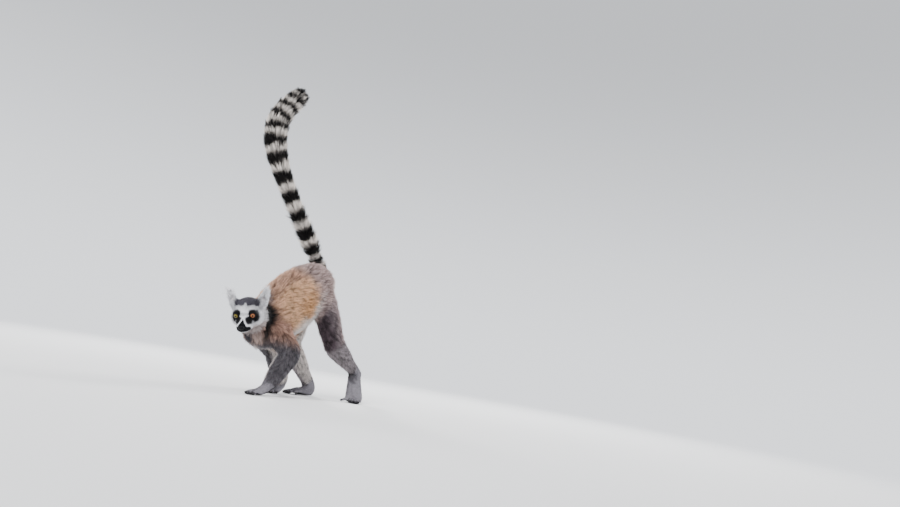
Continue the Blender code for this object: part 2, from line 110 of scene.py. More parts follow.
def unit(vectors: Array) -> Array:
    """Return the vectors at length 1."""
    return vectors / np.maximum(np.linalg.norm(vectors, axis=-1, keepdims=True), 1e-12)


def dot(a: Array, b: Array) -> Array:
    """Return the dot product of each pair of vectors."""
    return np.einsum("...i,...i->...", a, b)


def grain(points: Array, size: float, shift: float = 0.0) -> Array:
    """Return smooth noise, about -1 to 1, at each point.

    Args:
        points: The places, in metres.
        size: The size of one blotch, in metres.
        shift: Moves the pattern, so that two patterns differ.

    Returns:
        One value for each point.
    """
    return np.array([noise.noise(Vector(p) / size + Vector((shift, shift, shift))) for p in points.tolist()])


def points_of(mesh: bpy.types.Mesh) -> Array:
    """Read a mesh's vertices.

    Args:
        mesh: The mesh.

    Returns:
        Rows of x, y and z.
    """
    flat = np.empty(len(mesh.vertices) * 3)
    mesh.vertices.foreach_get("co", flat)
    return flat.reshape(-1, 3)


def triangles_of(mesh: bpy.types.Mesh) -> Array:
    """Read a mesh's triangles.

    Args:
        mesh: The mesh.

    Returns:
        Rows of three vertex numbers.
    """
    mesh.calc_loop_triangles()
    flat = np.empty(len(mesh.loop_triangles) * 3, dtype=np.int64)
    mesh.loop_triangles.foreach_get("vertices", flat)
    return flat.reshape(-1, 3)


def triangle_areas(corners: Array) -> Array:
    """Return the area of each triangle, given its three corners."""
    return np.linalg.norm(np.cross(corners[:, 1] - corners[:, 0], corners[:, 2] - corners[:, 0]), axis=1) / 2


def corner_normals(points: Array, faces: Array) -> Array:
    """Return the mean normal of the faces round each vertex.

    Args:
        points: The vertices.
        faces: The triangles.

    Returns:
        One unit vector for each vertex.
    """
    sides = points[faces]
    face_normals = np.cross(sides[:, 1] - sides[:, 0], sides[:, 2] - sides[:, 0])
    total = np.empty_like(points)
    for axis in range(3):
        total[:, axis] = sum(np.bincount(faces[:, corner], face_normals[:, axis], len(points))
                             for corner in range(3))
    return unit(total)


def put_out(name: str, data: bpy.types.ID) -> bpy.types.Object:
    """Put a new object into the scene.

    Args:
        name: Its name.
        data: Its mesh, camera or light.

    Returns:
        The object.
    """
    made = bpy.data.objects.new(name, data)
    bpy.context.scene.collection.objects.link(made)
    return made


def mesh_from(form: bmesh.types.BMesh, name: str) -> bpy.types.Mesh:
    """Turn a bmesh into a mesh, and free it.

    Args:
        form: The bmesh.
        name: The mesh's name.

    Returns:
        The mesh.
    """
    mesh = bpy.data.meshes.new(name)
    form.to_mesh(mesh)
    form.free()
    return mesh


def add_piece(name: str, mesh: bpy.types.Mesh, material: bpy.types.Material) -> bpy.types.Object:
    """Show a finished mesh, shaded smooth, as a piece that rides on the body.

    Args:
        name: The piece's name.
        mesh: Its mesh, already in place.
        material: Its material.

    Returns:
        The new object.
    """
    mesh.name = name
    mesh.shade_smooth()
    piece = put_out(name, mesh)
    mesh.materials.clear()
    mesh.materials.append(material)
    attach(piece, "root")
    log.info("%s: %d faces", name, len(mesh.polygons))
    return piece


def paint(mesh: bpy.types.Mesh, colours: Array) -> None:
    """Give every vertex of a mesh its own colour, under the name Tint.

    Args:
        mesh: The mesh.
        colours: Linear red, green and blue for each vertex.
    """
    tint = mesh.color_attributes.new("Tint", "FLOAT_COLOR", "POINT")
    solid = np.column_stack([colours, np.ones(len(colours))])
    tint.data.foreach_set("color", solid.astype(np.float32).ravel())


# The animal's landmarks

@dataclass
class Anatomy:
    """Where things lie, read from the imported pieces, in metres.

    The places and sizes given here are in centimetres in the head's frame, those of eye and ear for
    the left side. The tail's middle line runs past its first and last piece by the given shares of
    the step between two pieces.
    """

    eye_place: tuple[float, float, float] = (1.55, -2.55, 0.2)
    eye_radius: float = 0.80
    nose_place: tuple[float, float, float] = (0.0, -6.15, -1.75)
    ear_place: tuple[float, float, float] = (2.7, 0.6, 1.4)
    tail_pieces: int = 6
    tail_root_reach: float = 1.1
    tail_tip_reach: float = 0.62
    centres: dict[str, Array] = field(init=False)
    head_axes: Array = field(init=False)
    head_centre: Array = field(init=False)
    spine: Array = field(init=False)
    back: Array = field(init=False)
    tail_line: Array = field(init=False)

    def __post_init__(self) -> None:
        """Read the centres of all pieces and work the frames out from them."""
        self.centres = {}
        for name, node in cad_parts.items():
            points, faces = points_of(node.data), triangles_of(node.data)
            corners = points[faces]
            area = triangle_areas(corners)
            self.centres[name] = (corners.mean(1) * area[:, None]).sum(0) / area.sum()
        self.head_axes, self.head_centre = self.head_frame()
        self.spine = unit(self.centres["rump"] - self.centres["chest"])
        across = unit(np.cross(self.spine, (0, 0, 1)))
        self.back = np.cross(across, self.spine)
        self.tail_line = self.tail_spots()

    def head_frame(self) -> tuple[Array, Array]:
        """Work out the head's frame from the places of its eyes and nose.

        Returns:
            Its axes, as columns x, y and z, and its centre.
        """
        left, right, nose = (self.centres[n] for n in ("eye_left", "eye_right", "nose"))
        across = unit(left - right)
        between_eyes = (left + right) / 2
        ahead = nose - between_eyes
        ahead = unit(ahead - across * (ahead @ across))
        above = np.cross(ahead, across)
        _, eye_y, eye_z = self.eye_place
        _, nose_y, nose_z = self.nose_place
        dip = math.atan2(eye_z - nose_z, eye_y - nose_y)
        front = ahead * math.cos(dip) + above * math.sin(dip)
        up = above * math.cos(dip) - ahead * math.sin(dip)
        centre = between_eyes + (front * eye_y - up * eye_z) * CM
        return np.column_stack([across, -front, up]), centre

    def to_head(self, points: Array) -> Array:
        """Return places in the head's own frame, in centimetres."""
        return (points - self.head_centre) @ self.head_axes / CM

    def from_head(self, *place: float) -> Array:
        """Return the world place of a point given in the head's frame, in centimetres."""
        return self.head_centre + self.head_axes @ np.array(place) * CM

    def out_of_head(self, places: Array) -> Array:
        """Return the world places of rows given in the head's frame, in centimetres."""
        return self.head_centre + places @ self.head_axes.T * CM

    def eye_frame(self, side: Side) -> tuple[Array, Array, Array, Array]:
        """Return an eye's centre, the way it looks, and the ways across and up it, in the head's frame.

        Args:
            side: Which eye. The right one looks a little lower.

        Returns:
            The centre in centimetres, and three unit vectors.
        """
        x, y, z = self.eye_place
        gaze = unit(np.array((side * 0.30, -0.93, -0.13 if side == Side.LEFT else -0.24)))
        across = unit(np.cross(gaze, (0, 0, 1)))
        return np.array((side * x, y, z)), gaze, across, np.cross(across, gaze)

    def ear_root(self, side: Side) -> Array:
        """Return where an ear stands on the head, in the head's frame."""
        x, y, z = self.ear_place
        return np.array((side * x, y, z))

    def tail_spots(self) -> Array:
        """Follow the middle of the tail.

        Returns:
            Points down it, from where it leaves the rump to its tip.
        """
        spots = [self.centres[f"tail_{i}"] for i in range(1, self.tail_pieces + 1)]
        root = spots[0] - (spots[1] - spots[0]) * self.tail_root_reach
        tip = spots[-1] + (spots[-1] - spots[-2]) * self.tail_tip_reach
        return np.array([root, *spots, tip])

    def along_tail(self, points: Array) -> tuple[Array, Array]:
        """Measure places against the tail's middle line.

        Args:
            points: The places.

        Returns:
            How far down the tail each lies, in centimetres from the rump, and how far off the line.
        """
        best = np.full(len(points), np.inf)
        travel = np.zeros(len(points))
        passed = 0.0
        last = len(self.tail_line) - 2
        for i, (a, b) in enumerate(zip(self.tail_line[:-1], self.tail_line[1:])):
            length = np.linalg.norm(b - a)
            share = (points - a) @ (b - a) / length ** 2
            share = np.clip(share, -1.0 if i == 0 else 0.0, 2.0 if i == last else 1.0)
            off = np.linalg.norm(points - a - share[:, None] * (b - a), axis=1)
            nearer = off < best
            best[nearer] = off[nearer]
            travel[nearer] = (passed + share * length)[nearer]
            passed += length
        return travel / CM, best / CM


def kind_of(node: str) -> str:
    """Return a piece's name without its side or number."""
    return "_".join(word for word in node.split("_") if word not in ("left", "right") and not word.isdigit())


def side_of(node: str) -> Side:
    """Return the side of the animal that a piece is on."""
    return Side.LEFT if node.endswith("_left") else Side.RIGHT if node.endswith("_right") else Side.MIDDLE


# How the hair grows

@dataclass(frozen=True)
class Fleece:
    """The hair on one part of the body.

    depth is how far the coat reaches from the skin. depth, length and width are in millimetres, and
    density is in tufts to the square centimetre. curl is how far a tuft sways, in millimetres. clump
    is how far tufts draw together into locks, lift how far they stand off the coat, and grizzle how
    much their tone varies, all as shares.
    """

    depth: float
    length: float
    width: float
    density: float
    curl: float = 0.0
    clump: float = 0.35
    lift: float = 0.05
    grizzle: float = 0.12


FLEECES = {
    "head": Fleece(depth=2.4, length=6.0, width=0.36, density=130, clump=0.15, grizzle=0.07),
    "ear": Fleece(depth=2.0, length=10.5, width=0.52, density=185, clump=0.60, lift=0.60, grizzle=0.03),
    "neck": Fleece(depth=8.0, length=13, width=0.50, density=62, curl=1.5, grizzle=0.12),
    "chest": Fleece(depth=11.0, length=18.5, width=0.54, density=54, curl=4.2, clump=0.6, grizzle=0.26),
    "rump": Fleece(depth=11.0, length=18.5, width=0.54, density=51, curl=3.8, clump=0.55, grizzle=0.26),
    "upper_arm": Fleece(depth=8.0, length=16, width=0.52, density=56, curl=3.2, clump=0.7, grizzle=0.38),
    "forearm": Fleece(depth=5.0, length=11, width=0.46, density=62, curl=1.0, clump=0.5, grizzle=0.36),
    "hand": Fleece(depth=1.3, length=4.0, width=0.36, density=100, clump=0.15, grizzle=0.22),
    "thigh": Fleece(depth=9.0, length=16, width=0.52, density=54, curl=2.6, clump=0.6, grizzle=0.42),
    "shank": Fleece(depth=5.0, length=12, width=0.48, density=58, curl=1.0, clump=0.5, grizzle=0.50),
    "foot": Fleece(depth=1.6, length=5.0, width=0.40, density=90, clump=0.25, grizzle=0.22),
    "tail": Fleece(depth=12.0, length=25, width=0.56, density=75, curl=2.0, clump=0.55, lift=0.32,
                   grizzle=0.14),
}


# The skin

@dataclass
class Skin:
    """The body's one skin, with what grows on it known at every vertex.

    Pieces of flesh are welded, and swollen to close the hairline gaps between them. fine_head and
    fine_face are how far the smaller faces reach. The coat is thinner on the muzzle by the share
    muzzle_thin. An ear is drawn in by the share ear_draw, and hollowed by ear_bowl centimetres.
    Grooves between the digits are groove_mm deep, and end groove_floor above the floor. Under deep
    hair the skin is darker by the share under_shade, as painted shade for the hair's shadow on it.
    """

    anatomy: Anatomy
    weld: float = 0.01 * MM
    voxel: float = 2.55 * MM
    swell: float = 0.35 * MM
    fine_head: float = 4.6 * CM
    fine_face: float = 1.5 * CM
    sink_steps: int = 8
    muzzle_thin: float = 0.55
    ear_draw: float = 0.14
    ear_bowl: float = 0.36
    groove_mm: float = 2.2
    groove_floor: float = 1.2 * MM
    under_shade: float = 0.45
    nodes: list[str] = field(init=False)

    def __post_init__(self) -> None:
        """Build the skin's form and work out what grows where."""
        self.nodes = sorted(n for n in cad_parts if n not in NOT_FLESH)
        mesh = self.fused()
        self.faces = triangles_of(mesh)
        self.outer = points_of(mesh)
        self.edges = self.edge_list()
        self.outer = self.relaxed(self.outer, 10)
        self.weights = self.region_weights()
        self.normals = corner_normals(self.outer, self.faces)
        self.inner = self.sunk()
        self.eye_edge = np.full(len(self.outer), FAR_FROM_EYE)
        Face(self).shape()
        self.finger_gap = self.parted_fingers()
        self.inner_normals = corner_normals(self.inner, self.faces)
        self.flow = self.lie_of_coat()
        self.colours = Markings(self).colours()

    def fused(self) -> bpy.types.Mesh:
        """Fuse the pieces, with those that are not flesh, into one closed mesh.

        Returns:
            The mesh, finest on the head.
        """
        form = bmesh.new()
        for name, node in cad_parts.items():
            part = bmesh.new()
            part.from_mesh(node.data)
            bmesh.ops.remove_doubles(part, verts=part.verts, dist=self.weld)
            part.normal_update()
            if name in self.nodes:
                for v in part.verts:
                    v.co += v.normal * self.swell
            merged = mesh_from(part, "merged")
            form.from_mesh(merged)
            bpy.data.meshes.remove(merged)
        body = put_out("body", mesh_from(form, "body"))
        remesh = body.modifiers.new("Fuse", "REMESH")
        remesh.mode = "VOXEL"
        remesh.voxel_size = self.voxel
        fused = bpy.data.meshes.new_from_object(body.evaluated_get(bpy.context.evaluated_depsgraph_get()))
        bpy.data.objects.remove(body)
        return self.refined(fused)

    def refined(self, mesh: bpy.types.Mesh) -> bpy.types.Mesh:
        """Drop loose bits, and split the faces of the head, and again those round the eyes and muzzle.

        Args:
            mesh: The fused body.

        Returns:
            The same mesh.
        """
        form = bmesh.new()
        form.from_mesh(mesh)
        biggest = max(islands(form), key=len)
        bmesh.ops.delete(form, geom=[v for v in form.verts if v not in biggest], context="VERTS")
        places = [self.anatomy.from_head(side * 1.6, -3.0, 0.0) for side in BOTH_SIDES]
        places += [self.anatomy.from_head(0, -4.6, -1.8), self.anatomy.from_head(0, -6.2, -2.0)]
        whole = [self.anatomy.from_head(0, -1.2, 0.2)]
        for spots, reach in ((whole, self.fine_head), (places, self.fine_face)):
            near = [e for e in form.edges
                    if any((v.co - Vector(spot)).length < reach for spot in spots for v in e.verts)]
            bmesh.ops.subdivide_edges(form, edges=near, cuts=1, use_grid_fill=True)
        bmesh.ops.triangulate(form, faces=form.faces)
        form.to_mesh(mesh)
        form.free()
        return mesh

    def edge_list(self) -> Array:
        """Return each edge once, as rows of two vertex numbers."""
        pairs = np.concatenate([self.faces[:, [0, 1]], self.faces[:, [1, 2]], self.faces[:, [2, 0]]])
        return np.unique(np.sort(pairs, axis=1), axis=0)

    def averaged(self, values: Array) -> Array:
        """Take the mean over each vertex's neighbours.

        Args:
            values: A number or a row for each vertex.

        Returns:
            The means.
        """
        a, b = self.edges.T
        count = len(self.outer)
        links = np.bincount(a, minlength=count) + np.bincount(b, minlength=count)
        flat = values.reshape(count, -1)
        total = np.column_stack([np.bincount(a, flat[b, k], count) + np.bincount(b, flat[a, k], count)
                                 for k in range(flat.shape[1])])
        return (total / links[:, None]).reshape(values.shape)

    def spread(self, values: Array, rounds: int) -> Array:
        """Smooth values over the skin.

        Args:
            values: A number or a row for each vertex.
            rounds: How often to smooth.

        Returns:
            The smoothed values.
        """
        for _ in range(rounds):
            values = (values + self.averaged(values)) / 2
        return values

    def relaxed(self, points: Array, rounds: int) -> Array:
        """Smooth points without shrinking their form.

        Args:
            points: The points, one for each vertex.
            rounds: How often to smooth.

        Returns:
            The smoothed points.
        """
        for _ in range(rounds):
            points = points + (self.averaged(points) - points) * 0.5
            points = points - (self.averaged(points) - points) * 0.52
        return points

    def region_weights(self) -> dict[str, Array]:
        """Find out which piece of flesh each vertex comes from.

        Returns:
            For each piece, how far each vertex belongs to it.
        """
        corners, faces, owners = [], [], []
        count = 0
        for i, name in enumerate(self.nodes):
            points, triangles = points_of(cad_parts[name].data), triangles_of(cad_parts[name].data)
            corners += points.tolist()
            faces += (triangles + count).tolist()
            owners += [i] * len(triangles)
            count += len(points)
        finder = BVHTree.FromPolygons(corners, faces)
        self.owner = np.array([owners[finder.find_nearest(p)[2]] for p in self.outer.tolist()])
        exact = np.eye(len(self.nodes))[self.owner]
        soft = self.spread(exact, 6)
        return {name: soft[:, i] for i, name in enumerate(self.nodes)}

    def kind_weight(self, *kinds: str) -> Array:
        """Return how far each vertex belongs to pieces of the given kinds."""
        return sum(w for name, w in self.weights.items() if kind_of(name) in kinds)

    def fleece(self, size: str, rounds: int = 14) -> Array:
        """Return one of the fleece's numbers at every vertex, blended between the parts."""
        values = sum(getattr(FLEECES[kind_of(name)], size) * w for name, w in self.weights.items())
        return self.spread(values, rounds)

    def sunk(self) -> Array:
        """Sink the skin from the outer surface by the depth of the coat.

        Returns:
            The skin's vertices.
        """
        depth = self.fleece("depth") * MM
        q = self.anatomy.to_head(self.outer)
        depth *= 1 - self.muzzle_thin * ramp(-q[:, 1], 2.0, 4.5) * self.kind_weight("head")
        points = self.outer.copy()
        for _ in range(self.sink_steps):
            points -= corner_normals(points, self.faces) * (depth / self.sink_steps)[:, None]
            points += (self.averaged(points) - points) * (0.3 * ramp(depth, 1.0 * MM, 5.0 * MM))[:, None]
        for name in EARS:
            self.shape_ear(points, name)
        return self.relaxed(points, 2)

    def shape_ear(self, points: Array, name: str) -> None:
        """Draw an ear in from its hair tips, thin it, and hollow its front.

        Args:
            points: The skin's vertices, moved in place.
            name: The ear's piece.
        """
        side = side_of(name)
        q = self.anatomy.to_head(points)
        middle = self.anatomy.to_head(self.anatomy.centres[name][None])[0]
        share = self.spread(self.weights[name], 4)
        away = np.linalg.norm((q - middle) / (1.1, 1.0, 1.5), axis=1)
        bowl = self.ear_bowl * np.exp(-away ** 2) * ramp(self.ear_facing(side), 0.1, 0.7)
        root = self.anatomy.ear_root(side)
        drawn = q + (root - q) * (self.ear_draw * ramp(np.linalg.norm(q - root, axis=1), 0.5, 2.0))[:, None]
        drawn += np.array((-side * 0.3, 0.95, 0.0)) * bowl[:, None]
        points += (self.anatomy.out_of_head(drawn) - points) * share[:, None]

    def ear_facing(self, side: Side) -> Array:
        """Return how far each vertex faces the way that an ear's hollow opens, from -1 to 1."""
        return (self.normals @ self.anatomy.head_axes) @ unit(np.array((side * 0.45, -0.9, 0.0)))

    def parted_fingers(self) -> Array:
        """Press the gaps between the digits into the skin.

        Returns:
            How far each vertex lies in a gap.
        """
        gap = np.zeros(len(self.inner))
        for paw in PAWS:
            gap = np.maximum(gap, paw.gaps(self.outer))
        lower = gap * self.groove_mm * MM * ramp(self.normals[:, 2], -0.2, 0.4)
        height = self.inner[:, 2]
        self.inner[:, 2] = np.maximum(height - lower, np.minimum(height, self.groove_floor))
        return gap

    def lie_of_coat(self) -> Array:
        """Work out which way the hair lies, from nose to tail and down the limbs.

        Returns:
            A unit vector along the skin at each vertex.
        """
        anatomy, c = self.anatomy, self.anatomy.centres
        down = np.array((0, 0, -1.0))
        way = np.zeros_like(self.outer)
        nose = anatomy.from_head(0, -6.6, -1.2)
        fixed = {"neck": c["chest"] - c["head"],
                 "chest": unit(anatomy.spine) + down * 0.35, "rump": unit(anatomy.spine) + down * 0.45,
                 "tail_1": c["tail_2"] - c["tail_1"], "tail_6": c["tail_6"] - c["tail_5"],
                 "foot_left": np.array((0.25, -0.55, -0.8)), "foot_right": np.array((0.05, -1, -0.1))}
        for i in range(2, 6):
            fixed[f"tail_{i}"] = c[f"tail_{i + 1}"] - c[f"tail_{i - 1}"]
        for side in ("left", "right"):
            fixed["upper_arm_" + side] = c["forearm_" + side] - c["upper_arm_" + side]
            fixed["forearm_" + side] = c["hand_" + side] - c["upper_arm_" + side]
            fixed["hand_" + side] = (c["hand_" + side] - c["forearm_" + side]) * (1, 1, 0.2)
            fixed["thigh_" + side] = c["shank_" + side] - c["rump"]
            fixed["shank_" + side] = c["foot_" + side] - c["thigh_" + side]
        for name, weight in self.weights.items():
            if name == "head":
                lie = unit(self.inner - nose) + down * 0.15
            elif kind_of(name) == "ear":
                root = anatomy.from_head(side_of(name) * 2.6, 1.0, 1.2)
                outward = anatomy.head_axes @ np.array((side_of(name), 0.45, 0.0))
                lie = unit(self.inner - root) + outward * 0.75
            else:
                lie = unit(fixed[name])[None, :]
            way += lie * weight[:, None]
        for _ in range(12):
            way = self.spread(way, 2)
            way -= self.inner_normals * dot(way, self.inner_normals)[:, None]
            way = unit(way)
        return way

    def build(self) -> bpy.types.Object:
        """Show the skin in place of all pieces of flesh.

        Returns:
            The piece.
        """
        data = bpy.data.meshes.new("skin")
        data.from_pydata(self.inner.tolist(), [], self.faces.tolist())
        # Painted shade: the skin is darker where the coat over it is deep, for the shadow of the hair.
        shade = 1 - self.under_shade * ramp(self.fleece("depth"), 2.0, 8.0)
        paint(data, self.colours * shade[:, None])
        piece = add_piece("skin", data, ShortFur().material())
        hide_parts(*self.nodes)
        return piece


def islands(form: bmesh.types.BMesh) -> list[set[bmesh.types.BMVert]]:
    """Tell the separate bodies of a bmesh apart.

    Args:
        form: The bmesh.

    Returns:
        The vertices of each body.
    """
    left, found = set(form.verts), []
    while left:
        body = {left.pop()}
        rim = list(body)
        while rim:
            for link in rim.pop().link_edges:
                for v in link.verts:
                    if v not in body:
                        body.add(v)
                        rim.append(v)
        left -= body
        found.append(body)
    return found


# The face

@dataclass
class Face:
    """The lids and the line of the mouth, shaped in the skin; sizes in centimetres in the head's frame.

    half_width and half_height are of the opening between the lids. far_edge is how far from the eye
    the lids reach, and tucked how far the skin lies inside the ball within the opening.
    """

    skin: Skin
    half_width: float = 0.68
    half_height: float = 0.58
    lid: float = 0.08
    far_edge: float = 1.9
    tucked: float = 0.14
    lip_height: float = 0.09
    lip_depth: float = 0.10

    def shape(self) -> None:
        """Shape the lids and the mouth."""
        q = self.skin.anatomy.to_head(self.skin.inner)
        for side in BOTH_SIDES:
            q = self.lids(q, side)
        q = self.mouth(q)
        self.skin.inner = self.skin.anatomy.out_of_head(q)

    def lids(self, q: Array, side: Side) -> Array:
        """Wrap the skin round an eyeball, with an almond opening in front.

        Args:
            q: The skin's vertices in the head's frame.
            side: Which eye.

        Returns:
            The moved vertices.
        """
        centre, gaze, across, above = self.skin.anatomy.eye_frame(side)
        eye_radius = self.skin.anatomy.eye_radius
        away = q - centre
        distance = np.linalg.norm(away, axis=1)
        direction = unit(away)
        wide, high = dot(direction, across) * eye_radius, dot(direction, above) * eye_radius
        edge = np.sqrt((wide / self.half_width) ** 2 + (high / self.half_height) ** 2)
        near = (dot(direction, gaze) > 0.05) & (distance < self.far_edge)
        self.skin.eye_edge = np.minimum(self.skin.eye_edge, np.where(near, edge, FAR_FROM_EYE))
        over = eye_radius + self.lid * ramp(edge, self.far_edge, 1.02)
        lidded = np.maximum(distance, over)
        held = eye_radius + self.lid + (distance - eye_radius - self.lid) * ramp(edge, 1.0, self.far_edge)
        sunken = np.minimum(lidded, np.maximum(held, over))
        lidded = np.where((edge < self.far_edge) & (distance > over), sunken, lidded)
        new = np.where(edge < 1.0, eye_radius - self.tucked, lidded)
        new = np.where(edge < 2.2, new, distance)
        return np.where(near[:, None], centre + direction * new[:, None], q)

    def mouth(self, q: Array) -> Array:
        """Press the line of the mouth into both sides of the muzzle.

        Args:
            q: The skin's vertices in the head's frame.

        Returns:
            The moved vertices.
        """
        line = self.mouth_height(q[:, 1])
        groove = np.exp(-((q[:, 2] - line) / self.lip_height) ** 2)
        groove *= ramp(q[:, 1], -3.2, -3.8) * (np.abs(q[:, 0]) < 2.4)
        inward = unit(np.column_stack([-q[:, 0], np.full(len(q), 0.35), np.zeros(len(q))]))
        return q + inward * (self.lip_depth * groove)[:, None]

    @staticmethod
    def mouth_height(y: Array) -> Array:
        """Return how high the mouth runs at a place along the muzzle."""
        return -2.38 - 0.10 * (y + 6.2) + 0.05 * (y + 6.2) ** 2


# Markings

@dataclass
class Markings:
    """The coat's colours by place, for the skin and for every tuft on it.

    Places on the head and neck are in centimetres in the head's frame, the middles of the tail's
    black bands in centimetres from the rump, and heights on the limbs in centimetres from the floor.
    """

    skin: Skin
    white: str = "#F2F1F4"
    crown: str = "#524F58"
    mask: str = "#0B0A0C"
    mask_rim: str = "#38363A"
    muzzle: str = "#0A0A0E"
    back: str = "#BD9882"
    tan: str = "#EABF99"
    rust: str = "#C69970"
    shoulder: str = "#B58F7E"
    belly: str = "#EDE4DF"
    haunch: str = "#A69594"
    thigh: str = "#73686C"
    thigh_front: str = "#51454B"
    shank: str = "#8B8386"
    forearm: str = "#69656A"
    paw: str = "#938F96"
    digit: str = "#17151A"
    # The dark of the band behind the cheek, also used for the painted shade in the upper arm's folds.
    dark_band_and_fold_shade: str = "#1D1A1A"
    throat: str = "#3C393E"
    neck_front: str = "#A7928A"
    nape: str = "#8A7C78"
    # Painted shade in the hollow of the ear.
    ear_hollow: str = "#D8CFCF"
    tail_black: str = "#0F0C0C"
    tail_white: str = "#EAE2DA"
    tail_ochre: str = "#B58A4A"
    eye_patch: tuple[float, float] = (1.30, 1.56)
    eye_patch_drop: float = 0.14
    eye_patch_squareness: float = 1.8
    bands: tuple[float, ...] = (1.8, 3.7, 7.0, 11.6, 16.5, 21.3, 26.5, 31.4, 35.9, 39.4, 42.2, 45.5, 48.8,
                                51.5)
    band_share: float = 0.33
    band_edge: float = 0.12

    def colours(self) -> Array:
        """Blend the markings of all parts.

        Returns:
            The colour of the coat at every vertex of the skin.
        """
        skin = self.skin
        parts = {"head": self.head(), "ear": self.ears(), "neck": self.neck(),
                 "chest": self.trunk(), "rump": self.trunk(), "upper_arm": self.upper_arm(),
                 "forearm": self.limb(self.forearm), "hand": self.paws(), "thigh": self.thighs(),
                 "shank": self.limb(self.shank), "foot": self.paws(), "tail": self.tail()}
        total = sum(parts[kind_of(name)] * w[:, None] for name, w in skin.weights.items())
        travel, off = skin.anatomy.along_tail(skin.outer)
        on_tail = ramp(travel, -0.4, 0.4) * ramp(off, 3.0, 2.5) * skin.kind_weight("rump")
        total = self.mixed(total, self.tail(), on_tail)
        q = skin.anatomy.to_head(skin.outer)
        return self.mixed(total, self.head(), ramp(q[:, 1], 2.9, 2.5) * skin.kind_weight("neck"))

    @staticmethod
    def mixed(under: Array | str, over: Array | str, share: Array) -> Array:
        """Lay one colour over another.

        Args:
            under: The colour below, as "#RRGGBB" or with a row for each vertex.
            over: The colour on top, likewise.
            share: How much of it shows at each vertex, from 0 to 1.

        Returns:
            The colour with a row for each vertex.
        """
        low, high = (linear(colour) if isinstance(colour, str) else colour for colour in (under, over))
        return low + (high - low) * np.clip(share, 0, 1)[:, None]

    def head(self) -> Array:
        """Colour the white face with its dark crown, eye patches and muzzle.

        Returns:
            The colour at every vertex.
        """
        points = self.skin.outer
        q = self.skin.anatomy.to_head(points)
        wobble = grain(points, 6 * MM) * 0.10 + grain(points, 2.5 * MM, 7.0) * 0.05
        x, y, z = np.abs(q[:, 0]) + wobble, q[:, 1], q[:, 2]
        # The crown comes down in a peak over the nose, and falls away to the sides and the back.
        cap_edge = 2.12 + 0.55 * np.exp(-(x / 0.32) ** 2) - 0.62 * np.maximum(x - 1.6, 0) + wobble
        cap_edge = cap_edge - 0.5 * np.maximum(y - 0.5, 0)
        cap = ramp(z - cap_edge, -0.05, 0.12) * np.maximum(ramp(x, 3.0, 2.65), ramp(y, 1.6, 2.2))
        pale_crown = self.mixed(self.crown, self.nape, ramp(y, 1.0, 3.5))
        colour = self.mixed(self.white, pale_crown, cap)
        # An eye patch is a rounded square that leans outwards below. It ends above the muzzle.
        wedge_line = self.wedge_height(x)
        middle = 1.70 + 0.26 * np.maximum(-z - 0.3, 0)
        lean = z + self.eye_patch_drop + 0.10 * (x - middle)
        wide, high = self.eye_patch
        power = self.eye_patch_squareness
        patch = (np.abs((x - middle) / wide) ** power + np.abs(lean / high) ** power) ** (1 / power)
        patch = patch + wobble * 0.5
        held = ramp(y, -0.4, -1.2) * ramp(z - wedge_line, 0.34, 0.50)
        colour = self.mixed(colour, self.mask_rim, ramp(patch, 1.12, 0.94) * held)
        colour = self.mixed(colour, self.mask, ramp(patch, 0.96, 0.72) * held)
        # The muzzle is black in front of the eyes and above the lower lip.
        lip = z - Face.mouth_height(y)
        muzzle = ramp(z - wedge_line, 0.05, -0.05) * ramp(-y, 3.75, 3.95) * ramp(lip, -0.55, -0.38)
        muzzle = np.maximum(muzzle, ramp(-y, 5.5, 5.7) * ramp(lip, -0.65, -0.5))
        colour = self.mixed(colour, self.muzzle, muzzle)
        under = ramp(z, -2.3, -3.0) * ramp(y, -3.5, -1.0)
        return self.mixed(colour, self.neck_front, under * 0.7)

    @staticmethod
    def wedge_height(x: Array) -> Array:
        """Return how high the black of the muzzle reaches, by distance from the middle of the face."""
        return -0.15 - 1.45 * np.minimum(x, 1.0) - 0.83 * np.maximum(x - 1.0, 0)

    def ears(self) -> Array:
        """Colour the white ears, greyed in their hollows by painted shade.

        Returns:
            The colour at every vertex.
        """
        skin = self.skin
        colour = linear(self.white)
        for name in EARS:
            away = np.linalg.norm((skin.outer - skin.anatomy.centres[name]) / CM, axis=1)
            facing = skin.ear_facing(side_of(name))
            # Painted shade: each ear's hollow, near its middle and facing its opening, is greyed.
            hollow = ramp(away, 1.3, 0.5) * ramp(facing, 0.3, 0.7) * skin.weights[name]
            colour = self.mixed(colour, self.ear_hollow, hollow * 0.6)
        return colour

    @staticmethod
    def dark_band_share(q: Array) -> Array:
        """Return how far each place lies in the dark band behind the cheek.

        Args:
            q: The places in the head's frame, in centimetres.

        Returns:
            A share from 0 to 1 for each place.
        """
        front = 2.35 + 0.5 * ramp(q[:, 2], -3.0, -6.0)
        back = 3.9 + 2.2 * ramp(q[:, 2], -6.0, -1.5)
        across = ramp(q[:, 1] - front, 0.0, 0.4) * ramp(q[:, 1] - back, 0.5, -0.5)
        return across * ramp(np.abs(q[:, 0]), 1.7, 2.5) * ramp(q[:, 2], -9.4, -8.2) * ramp(q[:, 2], 2.0, 1.0)

    def neck(self) -> Array:
        """Colour the neck: grey nape, dark band behind the cheek, pinkish front and dark throat.

        Returns:
            The colour at every vertex.
        """
        q = self.skin.anatomy.to_head(self.skin.outer)
        nape = self.mixed(self.neck_front, self.nape, ramp(q[:, 2], 0.2, 2.2))
        colour = self.mixed(nape, self.dark_band_and_fold_shade, self.dark_band_share(q))
        throat = ramp(np.abs(q[:, 0] + 0.9), 1.5, 0.9) * ramp(q[:, 2], -4.6, -5.2)
        return self.mixed(colour, self.throat, throat)

